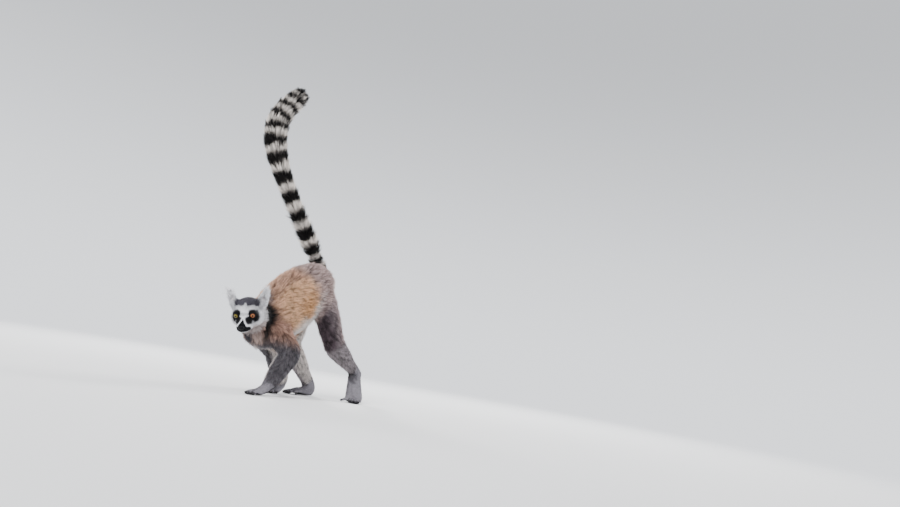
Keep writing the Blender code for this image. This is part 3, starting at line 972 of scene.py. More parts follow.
    def trunk(self) -> Array:
        """Colour the trunk: grey-brown back, ochre flank, beige shoulder and white belly.

        Returns:
            The colour at every vertex.
        """
        skin, anatomy = self.skin, self.skin.anatomy
        points, normals = skin.outer, skin.normals
        share = (points - anatomy.centres["chest"]) @ anatomy.spine / CM
        facing = normals @ anatomy.back
        wobble = grain(points, 30 * MM) * 0.18 + grain(points, 9 * MM, 3.0) * 0.10
        # share runs from the chest to the rump in centimetres, facing from -1 below to 1 above.
        flank = ramp(facing + wobble, 0.98, 0.45) * ramp(share, -3.5, 2.0)
        flank *= ramp(share + wobble * 3, 13.5, 9.5)
        colour = self.mixed(self.shoulder, self.back, ramp(facing + wobble, 0.35, 0.95))
        colour = self.mixed(colour, self.back, ramp(share, 9.0, 13.5))
        colour = self.mixed(colour, self.tan, flank)
        low = flank * ramp(facing + wobble, 0.42, 0.0) * ramp(share, 2.5, 6.0)
        colour = self.mixed(colour, self.rust, low)
        colour = self.mixed(colour, self.haunch, ramp(share + wobble * 4, 9.5, 13.5) * 0.85)
        # Where the flank turns in to the thigh it is grey, and below and behind it whitens.
        crease = ramp(wobble - normals @ anatomy.spine, 0.2, 0.55) * ramp(share, 6.0, 8.0)
        colour = self.mixed(colour, self.haunch, crease * 0.9)
        groin = ramp(facing + wobble, 0.0, -0.3) * ramp(share, 9.0, 10.5)
        rear = ramp(normals[:, 1] + wobble, 0.45, 0.9) * ramp(share, 12.0, 14.5)
        colour = self.mixed(colour, self.belly, np.maximum(groin, rear) * 0.8)
        colour = self.mixed(colour, self.belly, ramp(facing + wobble, -0.22, -0.55))
        q = anatomy.to_head(points)
        colour = self.mixed(colour, self.dark_band_and_fold_shade, self.dark_band_share(q))
        front = ramp(share, -7.5, -9.0) * ramp(q[:, 2], -4.4, -5.0)
        colour = self.mixed(colour, self.neck_front, front)
        throat = ramp(np.abs(q[:, 0] + 1.0), 1.7, 1.1) * ramp(q[:, 2], -4.6, -5.2) * ramp(q[:, 1], 4.6, 4.0)
        return self.mixed(colour, self.throat, throat)

    def inward(self) -> Array:
        """Return how far each limb's surface faces the other limb of its pair, from -1 to 1."""
        side = sum(side_of(name) * w for name, w in self.skin.weights.items())
        return -self.skin.normals[:, 0] * np.sign(side)

    def upper_arm(self) -> Array:
        """Colour the upper arms: beige above, greyer towards the elbow, white within.

        Returns:
            The colour at every vertex.
        """
        skin = self.skin
        height = skin.outer[:, 2] / CM
        colour = self.mixed(self.shoulder, self.forearm, ramp(height, 14.0, 10.5))
        # Painted shade: dark lines cross the arm above the elbow, for the shade in the creases between its
        # locks.
        waves = np.sin(2 * math.pi * (height / 1.3 + grain(skin.outer, 22 * MM) * 0.9))
        fold_shade = ramp(waves, 0.45, 0.95) * ramp(height, 14.8, 13.6) * ramp(height, 10.0, 11.0)
        colour = self.mixed(colour, self.dark_band_and_fold_shade, fold_shade * 0.8)
        q = skin.anatomy.to_head(skin.outer)
        colour = self.mixed(colour, self.dark_band_and_fold_shade, self.dark_band_share(q))
        front = ramp(q[:, 1], 4.2, 3.4) * ramp(q[:, 0], 2.9, 2.3)
        colour = self.mixed(colour, self.neck_front, front)
        return self.mixed(colour, self.belly, ramp(self.inward(), 0.35, 0.75))

    def limb(self, colour: str) -> Array:
        """Colour a limb that is paler within, and paler along its back edge as painted rim light.

        Args:
            colour: The limb's own colour.

        Returns:
            The colour at every vertex.
        """
        skin = self.skin
        wobble = grain(skin.outer, 12 * MM) * 0.12
        # Painted light: the back edge is paled, for the rim of light from behind.
        pale = ramp(skin.normals[:, 1] + wobble, 0.50, 0.90) * 0.75
        tinted = self.mixed(colour, self.belly, pale)
        return self.mixed(tinted, self.belly, ramp(self.inward() + wobble, 0.28, 0.68))

    def thighs(self) -> Array:
        """Colour the thighs: pale grey haunch, darker brown-grey in front, white within, and painted rim
        light along the back edge.

        Returns:
            The colour at every vertex.
        """
        skin = self.skin
        wobble = grain(skin.outer, 15 * MM) * 0.15
        low = ramp(skin.outer[:, 2] / CM, 24.5, 20.5)
        ahead = -skin.normals[:, 1] + wobble
        colour = self.mixed(self.haunch, self.thigh, ramp(ahead, -0.45, 0.15) * low)
        colour = self.mixed(colour, self.thigh_front, ramp(ahead, 0.15, 0.65) * low)
        # Painted light: the back edge of the thigh is whitened, for the rim of light from behind.
        colour = self.mixed(colour, self.belly, ramp(ahead, -0.75, -0.95) * 0.6)
        return self.mixed(colour, self.belly, ramp(self.inward() + wobble, 0.35, 0.75))

    def paws(self) -> Array:
        """Colour the pale hands and feet with their dark digits and soles, and painted shade between the
        digits.

        Returns:
            The colour at every vertex.
        """
        skin = self.skin
        height = skin.outer[:, 2] / CM
        dark = ramp(-skin.normals[:, 2], 0.35, 0.7)
        tips = np.zeros(len(height))
        for paw in PAWS:
            for tip in paw.tips():
                away = np.linalg.norm(skin.outer - tip, axis=1) / CM
                tips = np.maximum(tips, ramp(away, 0.75, 0.35) * 0.9)
        blotch = height + grain(skin.outer, 9 * MM) * 1.6
        ankle = skin.weights["foot_left"] * ramp(skin.normals[:, 1], 0.0, -0.7) * ramp(blotch, 4.6, 6.6)
        # Dark soles, dark digit tips and a dark blotch at the left ankle, with painted shade in the gaps
        # between the digits.
        shade = np.clip(dark + tips + ankle * 0.6 + skin.finger_gap * 0.85, 0, 1)
        return self.mixed(self.paw, self.digit, shade)

    def tail(self) -> Array:
        """Colour the tail's ragged black and white bands.

        Returns:
            The colour at every vertex.
        """
        points = self.skin.outer
        travel, _ = self.skin.anatomy.along_tail(points)
        travel = travel + grain(points, 9 * MM) * 0.28 + grain(points, 4 * MM, 5.0) * 0.14
        bands = np.array(self.bands)
        # Each black band takes its share of the way to the next on both sides. The tip is black.
        gaps = np.diff(bands, prepend=bands[0] - 1.6, append=bands[-1] + 3.0)
        black = np.zeros(len(points))
        for at, before, after in zip(bands, gaps[:-1], gaps[1:]):
            low, high = at - before * self.band_share, at + after * self.band_share
            begun = ramp(travel, low - self.band_edge, low + self.band_edge)
            black = np.maximum(black, begun * ramp(travel, high + self.band_edge, high - self.band_edge))
        black = np.maximum(black, ramp(travel, bands[-1] - 0.9, bands[-1] - 0.6))
        colour = self.mixed(self.tail_white, self.tail_ochre, ramp(travel, 3.0, 1.6) * 0.5)
        return self.mixed(colour, self.tail_black, black)


# Hands and feet

@dataclass(frozen=True)
class Paw:
    """Where the digits of a hand or foot end: root and lengths in centimetres, headings in degrees."""

    root: tuple[float, float]
    heading: float
    spread: tuple[float, ...]
    lengths: tuple[float, ...]
    thickness: float

    def tips(self) -> list[Array]:
        """Work out where the digits end.

        Returns:
            The place of each tip.
        """
        found = []
        for turn, length in zip(self.spread, self.lengths):
            angle = math.radians(self.heading + turn)
            found.append(np.array((self.root[0] + length * math.sin(angle),
                                   self.root[1] - length * math.cos(angle), self.thickness)) * CM)
        return found

    def gaps(self, points: Array) -> Array:
        """Return how far each place lies between two digits.

        Args:
            points: The places.

        Returns:
            A share from 0 to 1 for each place.
        """
        out = points[:, :2] / CM - self.root
        reach = np.linalg.norm(out, axis=1)
        heading = np.degrees(np.arctan2(out[:, 0], -out[:, 1])) - self.heading
        gap = np.zeros(len(points))
        digits = sorted(zip(self.spread, self.lengths))
        for (a, near), (b, far) in zip(digits[:-1], digits[1:]):
            off = np.abs(np.radians(heading - (a + b) / 2)) * reach
            start = 0.42 * min(near, far)
            gap = np.maximum(gap, ramp(off, 0.20, 0.06) * ramp(reach, start, start + 0.6) * (reach < 4.5))
        return gap * (points[:, 2] < 2.2 * CM)


HAND_SPREAD = (-62, -28, -6, 12, 34)
HAND_LENGTHS = (2.1, 2.8, 3.2, 3.3, 2.8)
FLAT_SPREAD = (-52, -14, 2, 15, 30)
FLAT_LENGTHS = (2.8, 2.9, 3.2, 3.5, 3.1)
TOE_SPREAD = (-66, -16, 4, 22, 40)
TOE_LENGTHS = (3.4, 2.7, 3.0, 3.1, 2.9)
# The left and the right hand, the flat right foot, and the left foot that pushes off
PAWS = (
    Paw((5.74, -11.40), -8, HAND_SPREAD, HAND_LENGTHS, 0.46),
    Paw((-1.28, 0.40), 2, tuple(-turn for turn in HAND_SPREAD), HAND_LENGTHS, 0.46),
    Paw((-2.98, 9.28), -3, tuple(-turn for turn in FLAT_SPREAD), FLAT_LENGTHS, 0.50),
    Paw((6.91, 20.69), 30, TOE_SPREAD, TOE_LENGTHS, 0.50),
)


# Materials

def add_node(material: bpy.types.Material | bpy.types.World, kind: str,
             settings: dict[str, Any] | None = None, **links: bpy.types.NodeSocket) -> bpy.types.Node:
    """Add a node to a material or a world.

    Args:
        material: The material or world.
        kind: The node's type name.
        settings: Properties and unlinked socket values by name.
        links: Sockets to feed, named with _ for a space, each with the output that feeds it.

    Returns:
        The new node.
    """
    node = material.node_tree.nodes.new(kind)
    for name, value in (settings or {}).items():
        if name in node.inputs.keys():
            node.inputs[name].default_value = value
        else:
            setattr(node, name, value)
    for name, output in links.items():
        material.node_tree.links.new(output, node.inputs[name.replace("_", " ")])
    return node


def fresh_material(name: str) -> bpy.types.Material:
    """Make a material with an empty node tree.

    Args:
        name: Its name.

    Returns:
        The material.
    """
    material = bpy.data.materials.new(name)
    material.use_nodes = True
    material.node_tree.nodes.clear()
    return material


def finish_material(material: bpy.types.Material, settings: dict[str, Any],
                    **links: bpy.types.NodeSocket) -> bpy.types.Material:
    """Give a material its surface shader.

    Args:
        material: The material.
        settings: The shader's unlinked socket values by name.
        links: The shader's sockets to feed, as for add_node.

    Returns:
        The same material.
    """
    surface = add_node(material, "ShaderNodeBsdfPrincipled", settings, **links)
    add_node(material, "ShaderNodeOutputMaterial", None, Surface=surface.outputs["BSDF"])
    return material


@dataclass(frozen=True)
class Hair:
    """Lemur wool in tufts: matt keratin, each tuft its own colour, with a faint sheen at the edges."""

    roughness: float = 0.75
    specular: float = 0.14
    sheen: float = 0.02
    mottle_mm: float = 3.0
    mottle: float = 0.12

    def material(self) -> bpy.types.Material:
        """Make the material.

        Returns:
            The material.
        """
        made = fresh_material("lemur_wool")
        tint = add_node(made, "ShaderNodeAttribute", {"attribute_name": "Tint"})
        place = add_node(made, "ShaderNodeTexCoord")
        blotch = add_node(made, "ShaderNodeTexNoise", {"Scale": 1 / (self.mottle_mm * MM), "Detail": 2.0},
                          Vector=place.outputs["Object"])
        level = add_node(made, "ShaderNodeMapRange", {"From Min": 0.3, "From Max": 0.7,
                                                      "To Min": 1 - self.mottle, "To Max": 1 + self.mottle},
                         Value=blotch.outputs["Fac"])
        shaded = add_node(made, "ShaderNodeVectorMath", {"operation": "SCALE"},
                          Vector=tint.outputs["Color"], Scale=level.outputs["Result"])
        return finish_material(made, {"Roughness": self.roughness, "Specular IOR Level": self.specular,
                                      "Sheen Weight": self.sheen, "Sheen Roughness": 0.5},
                               Base_Color=shaded.outputs["Vector"])


@dataclass(frozen=True)
class ShortFur:
    """Skin with a close pile: the pile is drawn as fine bump, coarser than life so that it shows."""

    roughness: float = 0.85
    pile_mm: float = 0.6
    bump_mm: float = 0.25
    darkest: float = 0.8
    lightest: float = 1.15

    def material(self) -> bpy.types.Material:
        """Make the material.

        Returns:
            The material.
        """
        made = fresh_material("short_fur_skin")
        tint = add_node(made, "ShaderNodeAttribute", {"attribute_name": "Tint"})
        place = add_node(made, "ShaderNodeTexCoord")
        pile = add_node(made, "ShaderNodeTexNoise", {"Scale": 1 / (self.pile_mm * MM), "Detail": 3.0},
                        Vector=place.outputs["Object"])
        bump = add_node(made, "ShaderNodeBump", {"Strength": 0.8, "Distance": self.bump_mm * MM},
                        Height=pile.outputs["Fac"])
        level = add_node(made, "ShaderNodeMapRange", {"From Min": 0.3, "From Max": 0.7,
                                                      "To Min": self.darkest, "To Max": self.lightest},
                         Value=pile.outputs["Fac"])
        shaded = add_node(made, "ShaderNodeVectorMath", {"operation": "SCALE"},
                          Vector=tint.outputs["Color"], Scale=level.outputs["Result"])
        return finish_material(made, {"Roughness": self.roughness, "Specular IOR Level": 0.12},
                               Base_Color=shaded.outputs["Vector"], Normal=bump.outputs["Normal"])


@dataclass(frozen=True)
class Rhinarium:
    """Bare, moist nose leather with a pebbled grain."""

    colour: str = "#0B0A0D"
    pebble_mm: float = 0.5
    bump_mm: float = 0.1

    def material(self) -> bpy.types.Material:
        """Make the material.

        Returns:
            The material.
        """
        made = fresh_material("nose_leather")
        place = add_node(made, "ShaderNodeTexCoord")
        pebble = add_node(made, "ShaderNodeTexVoronoi", {"Scale": 1 / (self.pebble_mm * MM)},
                          Vector=place.outputs["Object"])
        bump = add_node(made, "ShaderNodeBump", {"Strength": 0.5, "Distance": self.bump_mm * MM,
                                                 "invert": True}, Height=pebble.outputs["Distance"])
        return finish_material(made, {"Base Color": (*linear(self.colour), 1), "Roughness": 0.48,
                                      "Specular IOR Level": 0.12}, Normal=bump.outputs["Normal"])


@dataclass(frozen=True)
class NailHorn:
    """Dark keratin of the nails, smooth with a soft gloss."""

    colour: str = "#1B1817"
    streak_mm: float = 0.8

    def material(self) -> bpy.types.Material:
        """Make the material.

        Returns:
            The material.
        """
        made = fresh_material("nail_horn")
        place = add_node(made, "ShaderNodeTexCoord")
        streak = add_node(made, "ShaderNodeTexNoise", {"Scale": 1 / (self.streak_mm * MM), "Detail": 2.0},
                          Vector=place.outputs["Object"])
        rough = add_node(made, "ShaderNodeMapRange", {"To Min": 0.3, "To Max": 0.5},
                         Value=streak.outputs["Fac"])
        return finish_material(made, {"Base Color": (*linear(self.colour), 1), "Specular IOR Level": 0.25},
                               Roughness=rough.outputs["Result"])


@dataclass(frozen=True)
class EyeGlass:
    """A wet eye: bright iris with fine spokes, a dark pupil and a dark rim, under a clear gloss."""

    name: str
    iris: str
    inner_iris: str
    rim: str = "#120A06"
    black: str = "#050303"
    corner: str = "#080505"
    pupil: float = 0.30
    iris_edge: float = 0.71
    spoke_mm: float = 0.7
    jitter: float = 0.07

    def material(self) -> bpy.types.Material:
        """Make the material. The attribute Gaze runs from 0 at the pupil's middle to 1 at the lid.

        Returns:
            The material.
        """
        made = fresh_material(self.name)
        gaze = add_node(made, "ShaderNodeAttribute", {"attribute_name": "Gaze"})
        place = add_node(made, "ShaderNodeTexCoord")
        spokes = add_node(made, "ShaderNodeTexNoise", {"Scale": 1 / (self.spoke_mm * MM), "Detail": 3.0},
                          Vector=place.outputs["Object"])
        jitter = add_node(made, "ShaderNodeMapRange", {"To Min": -self.jitter, "To Max": self.jitter},
                          Value=spokes.outputs["Fac"])
        moved = add_node(made, "ShaderNodeMath", {"operation": "ADD"})
        made.node_tree.links.new(gaze.outputs["Fac"], moved.inputs[0])
        made.node_tree.links.new(jitter.outputs["Result"], moved.inputs[1])
        colours = add_node(made, "ShaderNodeValToRGB", None, Fac=moved.outputs["Value"])
        stops = ((0.0, self.black), (self.pupil, self.black), (self.pupil + 0.04, self.inner_iris),
                 (0.50, self.iris), (self.iris_edge - 0.1, self.iris), (self.iris_edge, self.rim),
                 (1.0, self.corner))
        band = colours.color_ramp
        while len(band.elements) < len(stops):
            band.elements.new(0.5)
        for element, (at, colour) in zip(band.elements, stops):
            element.position = at
            element.color = (*linear(colour), 1)
        return finish_material(made, {"Roughness": 0.3, "Specular IOR Level": 0.05, "Coat Weight": 0.22,
                                      "Coat Roughness": 0.02}, Base_Color=colours.outputs["Color"])


# The coat

@dataclass
class Tufts:
    """The tufts of one piece of the coat, with a row for each.

    size holds the fleece's numbers at each tuft, lock the number of the tuft that each gathers
    round, and lock_step and own_step how far each lock and tuft departs from the mean.
    """

    root: Array
    normal: Array
    flow: Array
    size: dict[str, Array]
    lock: Array
    lock_step: Array
    own_step: Array

    @property
    def across(self) -> Array:
        """The way across each tuft, along the skin."""
        return unit(np.cross(self.normal, self.flow))


@dataclass
class Coat:
    """Closed tufts of hair, planted on the skin and laid along it.

    patch is the size of a tuft on its unwrap, and margin the gap round each tile there. Of about
    tufts_per_lock tufts, one leads a lock. The ranges say how much tufts vary, as shares: rises are
    the lowest and highest place of a tip between skin and surface. Roots lie planted_mm under the
    skin, and the clearances keep bends and tips off the floor. bend_girth is a bend's width as a
    share of the root's. root_shade, bend_shade and tip_shade darken or lighten a tuft's colour along
    it: the darker root and bend are painted shade deep in the coat as well as the hair's own greyer
    base, and the lighter tip is the hair's pale tip. tones are the limits for a whole tuft, painted
    depth shade included. No colour is lighter than lightest.

    A tip lies at the mean rise, changed by the tuft's own step, by its lock's and by slow waves.
    Numbers named shorter, finer, denser or longer are shares of the fleece's own, and the lifts are
    added to its lift.
    """

    skin: Skin
    seed: int = 2208
    patch: float = 0.003
    margin: float = 0.02
    tufts_per_lock: int = 16
    lengths: tuple[float, float] = (0.75, 1.12)
    widths: tuple[float, float] = (0.75, 1.25)
    lifts: tuple[float, float] = (0.2, 1.6)
    pulls: tuple[float, float] = (0.6, 1.2)
    rises: tuple[float, float] = (0.35, 1.14)
    tones: tuple[float, float] = (0.3, 1.5)
    planted_mm: float = 0.3
    bend_girth: float = 0.8
    bend_clearance: float = 0.6 * MM
    tip_clearance: float = 0.5 * MM
    root_shade: float = 0.55
    bend_shade: float = 0.95
    tip_shade: float = 1.08
    lightest: float = 0.88
    rise_mean: float = 0.84
    rise_own: float = 0.11
    rise_lock: float = 0.20
    rise_wave: float = 0.22
    lock_longer: float = 0.14
    face_shorter: float = 0.66
    face_finer: float = 0.30
    face_denser: float = 0.6
    throat_shorter: float = 0.45
    cheek_ruff_mm: float = 6.0
    ear_hair_mm: float = 8.0
    ear_fringe_mm: float = 11.0
    ear_fringe_lift: float = 0.6
    ear_base_mm: float = 5.0
    ear_base_lift: float = 0.35
    fringe_longer: float = 0.25
    fringe_lift: float = 0.30
    tail_tip_longer: float = 0.35
    tail_lift: float = 0.45

    def __post_init__(self) -> None:
        """Make ready to look up the outer surface and the skin."""
        skin = self.skin
        faces = skin.faces.tolist()
        self.outside = BVHTree.FromPolygons(skin.outer.tolist(), faces)
        self.inside = BVHTree.FromPolygons(skin.inner.tolist(), faces)
        self.material = Hair().material()
        self.sizes = {size.name: skin.fleece(size.name) for size in fields(Fleece)}
        self.fit_head()
        self.fit_body()
        self.bare = self.bare_skin()

    def fit_head(self) -> None:
        """Shorten the hair round the eyes and on the muzzle, and lengthen it on the cheeks and ears."""
        skin, sizes = self.skin, self.sizes
        q = skin.anatomy.to_head(skin.outer)
        head = skin.kind_weight("head")
        muzzle = ramp(-q[:, 1], 2.5, 4.8) * head
        round_eye = ramp(skin.eye_edge, 2.6, 1.5)
        fine = np.maximum(muzzle, round_eye)
        sizes["length"] *= 1 - self.face_shorter * fine
        sizes["width"] *= 1 - self.face_finer * fine
        sizes["density"] *= 1 + self.face_denser * fine
        cheek = ramp(q[:, 1], 0.3, 1.6) * ramp(np.abs(q[:, 0]), 1.8, 2.6) * skin.kind_weight("head", "neck")
        sizes["length"] += cheek * self.cheek_ruff_mm * ramp(q[:, 1], 4.5, 3.0)
        throat = ramp(q[:, 2], -2.4, -3.4) * ramp(q[:, 1], 5.0, 3.5)
        throat *= skin.kind_weight("head", "neck", "chest")
        sizes["length"] *= 1 - self.throat_shorter * throat
        for name in EARS:
            away = np.linalg.norm(q - skin.anatomy.ear_root(side_of(name)), axis=1)
            far = ramp(away, 1.3, 3.0) * skin.weights[name]
            facing = dot(skin.normals @ skin.anatomy.head_axes, np.array((side_of(name), 0.7, 0.5)))
            outward = ramp(facing, -0.2, 0.8)
            sizes["length"] += far * (self.ear_hair_mm + self.ear_fringe_mm * outward)
            sizes["lift"] += far * outward * self.ear_fringe_lift
            base = ramp(away, 1.9, 0.8) * head
            sizes["length"] += base * self.ear_base_mm
            sizes["lift"] += base * self.ear_base_lift

    def fit_body(self) -> None:
        """Hang a fringe under the belly and behind elbows and thighs, and fluff out the tail's ends."""
        skin, sizes = self.skin, self.sizes
        below = ramp(-skin.normals @ skin.anatomy.back, 0.1, 0.6) * skin.kind_weight("chest", "rump")
        behind = ramp(skin.normals[:, 1], 0.3, 0.8) * skin.kind_weight("upper_arm", "thigh", "rump")
        fringe = np.maximum(below, behind * 0.7)
        sizes["lift"] += fringe * self.fringe_lift
        sizes["length"] *= 1 + self.fringe_longer * fringe
        travel, _ = skin.anatomy.along_tail(skin.outer)
        tail = skin.kind_weight("tail")
        sizes["length"] *= 1 + self.tail_tip_longer * ramp(travel, 48.0, 51.5) * tail
        sizes["lift"] += self.tail_lift * ramp(travel, 26.0, 8.0) * tail

    def bare_skin(self) -> Array:
        """Find the places without hair: the eyes' openings, the nose, and the soles.

        Returns:
            How bare each vertex is, from 0 to 1.
        """
        skin = self.skin
        q = skin.anatomy.to_head(skin.outer)
        bare = ramp(-skin.normals[:, 2], 0.5, 0.8) * skin.kind_weight("hand", "foot")
        bare = np.maximum(bare, ramp(skin.outer[:, 2], 1.5 * MM, 0.5 * MM))
        bare = np.maximum(bare, ramp(skin.eye_edge, 1.12, 1.04))
        nose = (q - skin.anatomy.nose_place) / (0.75, 0.62, 0.6)
        return np.maximum(bare, np.linalg.norm(nose, axis=1) < 1.0)

    def roots(self, members: list[str], side: Side, rng: np.random.Generator) -> tuple[Array, Array]:
        """Scatter the roots of a piece's tufts over its part of the skin.

        Args:
            members: The pieces of flesh that it covers.
            side: The half to grow on, or the middle for both.
            rng: The random numbers.

        Returns:
            The face each root lies on, and its three weights there.
        """
        skin = self.skin
        wanted = [skin.nodes.index(name) for name in members]
        mine = np.isin(skin.owner[skin.faces[:, 0]], wanted)
        corners = skin.inner[skin.faces]
        if side != Side.MIDDLE:
            off = corners.mean(1) - skin.anatomy.centres[members[0]]
            mine &= off @ np.cross(skin.anatomy.back, skin.anatomy.spine) * side >= 0
        density = (self.sizes["density"] * (1 - self.bare))[skin.faces].mean(1) / CM ** 2
        expected = triangle_areas(corners) * density * mine
        count = np.floor(expected + rng.random(len(expected))).astype(int)
        chosen = np.repeat(np.arange(len(count)), count)
        a, b = rng.random((2, len(chosen)))
        flip = a + b > 1
        a[flip], b[flip] = 1 - a[flip], 1 - b[flip]
        return chosen, np.column_stack([1 - a - b, a, b])

    def grow(self, name: str, members: list[str], rings: int = 1,
             side: Side = Side.MIDDLE) -> bpy.types.Object:
        """Grow one piece of the coat.

        Args:
            name: The piece's name.
            members: The pieces of flesh that it covers.
            rings: How many bends each tuft has.
            side: The half to grow on, or the middle for both.

        Returns:
            The finished piece.
        """
        rng = np.random.default_rng(self.seed + sum(map(ord, name)))
        tufts = self.planted(members, side, rng)
        middle, tip, rise = self.bent(tufts, rng)
        colour = self.toned(tufts, tip, rise, rng)
        width = tufts.size["width"] * MM * rng.uniform(*self.widths, len(tufts.root))
        root = tufts.root - tufts.normal * self.planted_mm * MM
        mesh = self.spikes(name, rings, root, middle, tip, tufts.across, width, colour, rng)
        self.unwrap(mesh, members, tufts.root)
        return add_piece(name, mesh, self.material)

    def planted(self, members: list[str], side: Side, rng: np.random.Generator) -> Tufts:
        """Plant a piece's tufts on the skin.

        Args:
            members: The pieces of flesh that it covers.
            side: The half to grow on, or the middle for both.
            rng: The random numbers.

        Returns:
            The tufts.
        """
        skin = self.skin
        chosen, shares = self.roots(members, side, rng)
        corners = skin.faces[chosen]

        def here(values: Array) -> Array:
            """Return a vertex value at each root."""
            return np.einsum("nk,nk...->n...", shares, values[corners])

        root, normal, flow = here(skin.inner), unit(here(skin.inner_normals)), unit(here(skin.flow))
        size = {key: here(values) for key, values in self.sizes.items()}
        lock = self.locks(root, rng)
        lock_step, own_step = rng.normal(0, 1, len(root))[lock], rng.normal(0, 1, len(root))
        return Tufts(root, normal, self.swirled(root, normal, flow, size["curl"]), size, lock, lock_step,
                     own_step)

    def bent(self, tufts: Tufts, rng: np.random.Generator) -> tuple[Array, Array, Array]:
        """Lay tufts along the coat's surface, lift some off it, and draw them into locks.

        Args:
            tufts: The tufts.
            rng: The random numbers.

        Returns:
            The bends, the tips, and how far out between skin and surface each tip was laid.
        """
        root, size, count = tufts.root, tufts.size, len(tufts.root)
        length = size["length"] * MM * rng.uniform(*self.lengths, count)
        length = length * (1 + self.lock_longer * tufts.lock_step)
        deep = size["depth"] * MM
        # How far a tuft runs along the skin once its depth is taken off its length
        run = np.sqrt(np.maximum(length ** 2 - deep ** 2, (0.6 * length) ** 2))
        ripple = grain(root, 13 * MM, 4.0) * np.minimum(size["curl"] / 3, 1)
        rise = self.rise_mean + self.rise_own * tufts.own_step
        rise = rise + self.rise_lock * size["clump"] * tufts.lock_step + self.rise_wave * ripple
        rise = np.clip(rise, *self.rises)
        # Most tufts lie along the coat's surface. A loose one comes away from it towards free.
        free = root + tufts.normal * (deep * 0.8 + length * 0.42)[:, None]
        free = free + tufts.flow * (length * 0.80)[:, None]
        tip = self.laid(root + tufts.normal * deep[:, None] * 0.7 + tufts.flow * run[:, None], rise)
        middle = self.laid(root * 0.52 + tip * 0.48, rise * 0.62 + 0.05)
        loose = np.clip(size["lift"] * rng.uniform(*self.lifts, count), 0, 1)[:, None]
        tip += (free - tip) * loose
        middle += (root * 0.5 + free * 0.5 - middle) * loose
        sway = (size["curl"] * MM * 0.5)[:, None] * tufts.across
        middle = middle + sway * rng.normal(0, 0.5, count)[:, None]
        tip = tip + sway * rng.normal(0, 0.9, count)[:, None]
        pull = size["clump"] * rng.uniform(*self.pulls, count)
        middle, tip = self.clumped(root, middle, tip, tufts.lock, pull)
        return middle, tip, rise

    def toned(self, tufts: Tufts, tip: Array, rise: Array, rng: np.random.Generator) -> Array:
        """Work out each tuft's colour from the markings, with its own tone and painted shade by depth.

        Args:
            tufts: The tufts.
            tip: Their tips.
            rise: How far out each tip was laid. As painted shade, the higher ones are lighter and the lower
                ones darker.
            rng: The random numbers.

        Returns:
            The colours.
        """
        colour = self.colour_at(tufts.root * 0.35 + tip * 0.65, tufts.size["depth"] * MM, rng)
        fleck = 0.75 * tufts.lock_step + 0.75 * tufts.own_step + 1.3 * grain(tufts.root, 5 * MM, 8.0)
        # Painted shade: tufts laid deep in the coat are darkened and those at its surface lightened; fleck is
        # tone that varies at random.
        tone = 1 + tufts.size["grizzle"] * fleck + 0.8 * np.clip(rise - 0.86, -0.4, 0.2)
        colour = colour * np.clip(tone, *self.tones)[:, None]
        return colour / np.maximum(colour.max(axis=1, keepdims=True) / self.lightest, 1)

    def locks(self, root: Array, rng: np.random.Generator) -> Array:
        """Gather tufts into locks.

        Args:
            root: The roots.
            rng: The random numbers.

        Returns:
            The number of the leading tuft that each tuft gathers round.
        """
        leaders = np.flatnonzero(rng.random(len(root)) < 1 / self.tufts_per_lock)
        tree = KDTree(len(leaders))
        for i, leader in enumerate(leaders):
            tree.insert(root[leader], i)
        tree.balance()
        return leaders[[tree.find(p)[1] for p in root.tolist()]]

    @staticmethod
    def swirled(root: Array, normal: Array, flow: Array, curl: Array) -> Array:
        """Turn the lie of the coat a little from place to place, so that it parts into waves.

        Args:
            root: The roots.
            normal: The way out of the skin at each.
            flow: The lie of the coat at each.
            curl: How far the tufts there sway, in millimetres.

        Returns:
            The turned lie of the coat.
        """
        turn = grain(root, 26 * MM) * 0.35 + grain(root, 10 * MM, 11.0) * 0.11 * (1 + curl)
        side = np.cross(normal, flow)
        return unit(flow * np.cos(turn)[:, None] + side * np.sin(turn)[:, None])

    def laid(self, points: Array, rise: Array) -> Array:
        """Bring points between the skin and the coat's surface, clear of the floor.

        Args:
            points: The points.
            rise: How far out each goes, from 0 at the skin to 1 at the surface.

        Returns:
            The moved points.
        """
        outer = np.array([self.outside.find_nearest(p)[0][:] for p in points.tolist()])
        inner = np.array([self.inside.find_nearest(p)[0][:] for p in outer.tolist()])
        placed = inner + (outer - inner) * rise[:, None]
        placed[:, 2] = np.maximum(placed[:, 2], self.bend_clearance)
        return placed

    def clumped(self, root: Array, middle: Array, tip: Array, lock: Array,
                pull: Array) -> tuple[Array, Array]:
        """Draw tufts together into locks, each round its leading tuft.

        Args:
            root: The roots.
            middle: The bends.
            tip: The tips.
            lock: The number of each tuft's leader.
            pull: How far each is drawn in, as a share.

        Returns:
            The moved bends and tips.
        """
        pull = pull[:, None]
        gap = root - root[lock]
        tip = tip + (tip[lock] + gap * 0.25 - tip) * pull
        middle = middle + (middle[lock] + gap * 0.7 - middle) * pull * 0.5
        tip[:, 2] = np.maximum(tip[:, 2], self.tip_clearance)
        return middle, tip

    def colour_at(self, places: Array, deep: Array, rng: np.random.Generator) -> Array:
        """Look up the coat's colour at a place along each tuft, a little mixed at the edges of markings.

        Args:
            places: The places.
            deep: The depth of the coat at each.
            rng: The random numbers.

        Returns:
            The colours.
        """
        spread = (0.3 * MM + deep * 0.14)[:, None]
        moved = places + rng.normal(0, 1, places.shape) * spread
        hit = [self.inside.find_nearest(p)[2] for p in moved.tolist()]
        return self.skin.colours[self.skin.faces[hit]].mean(1)

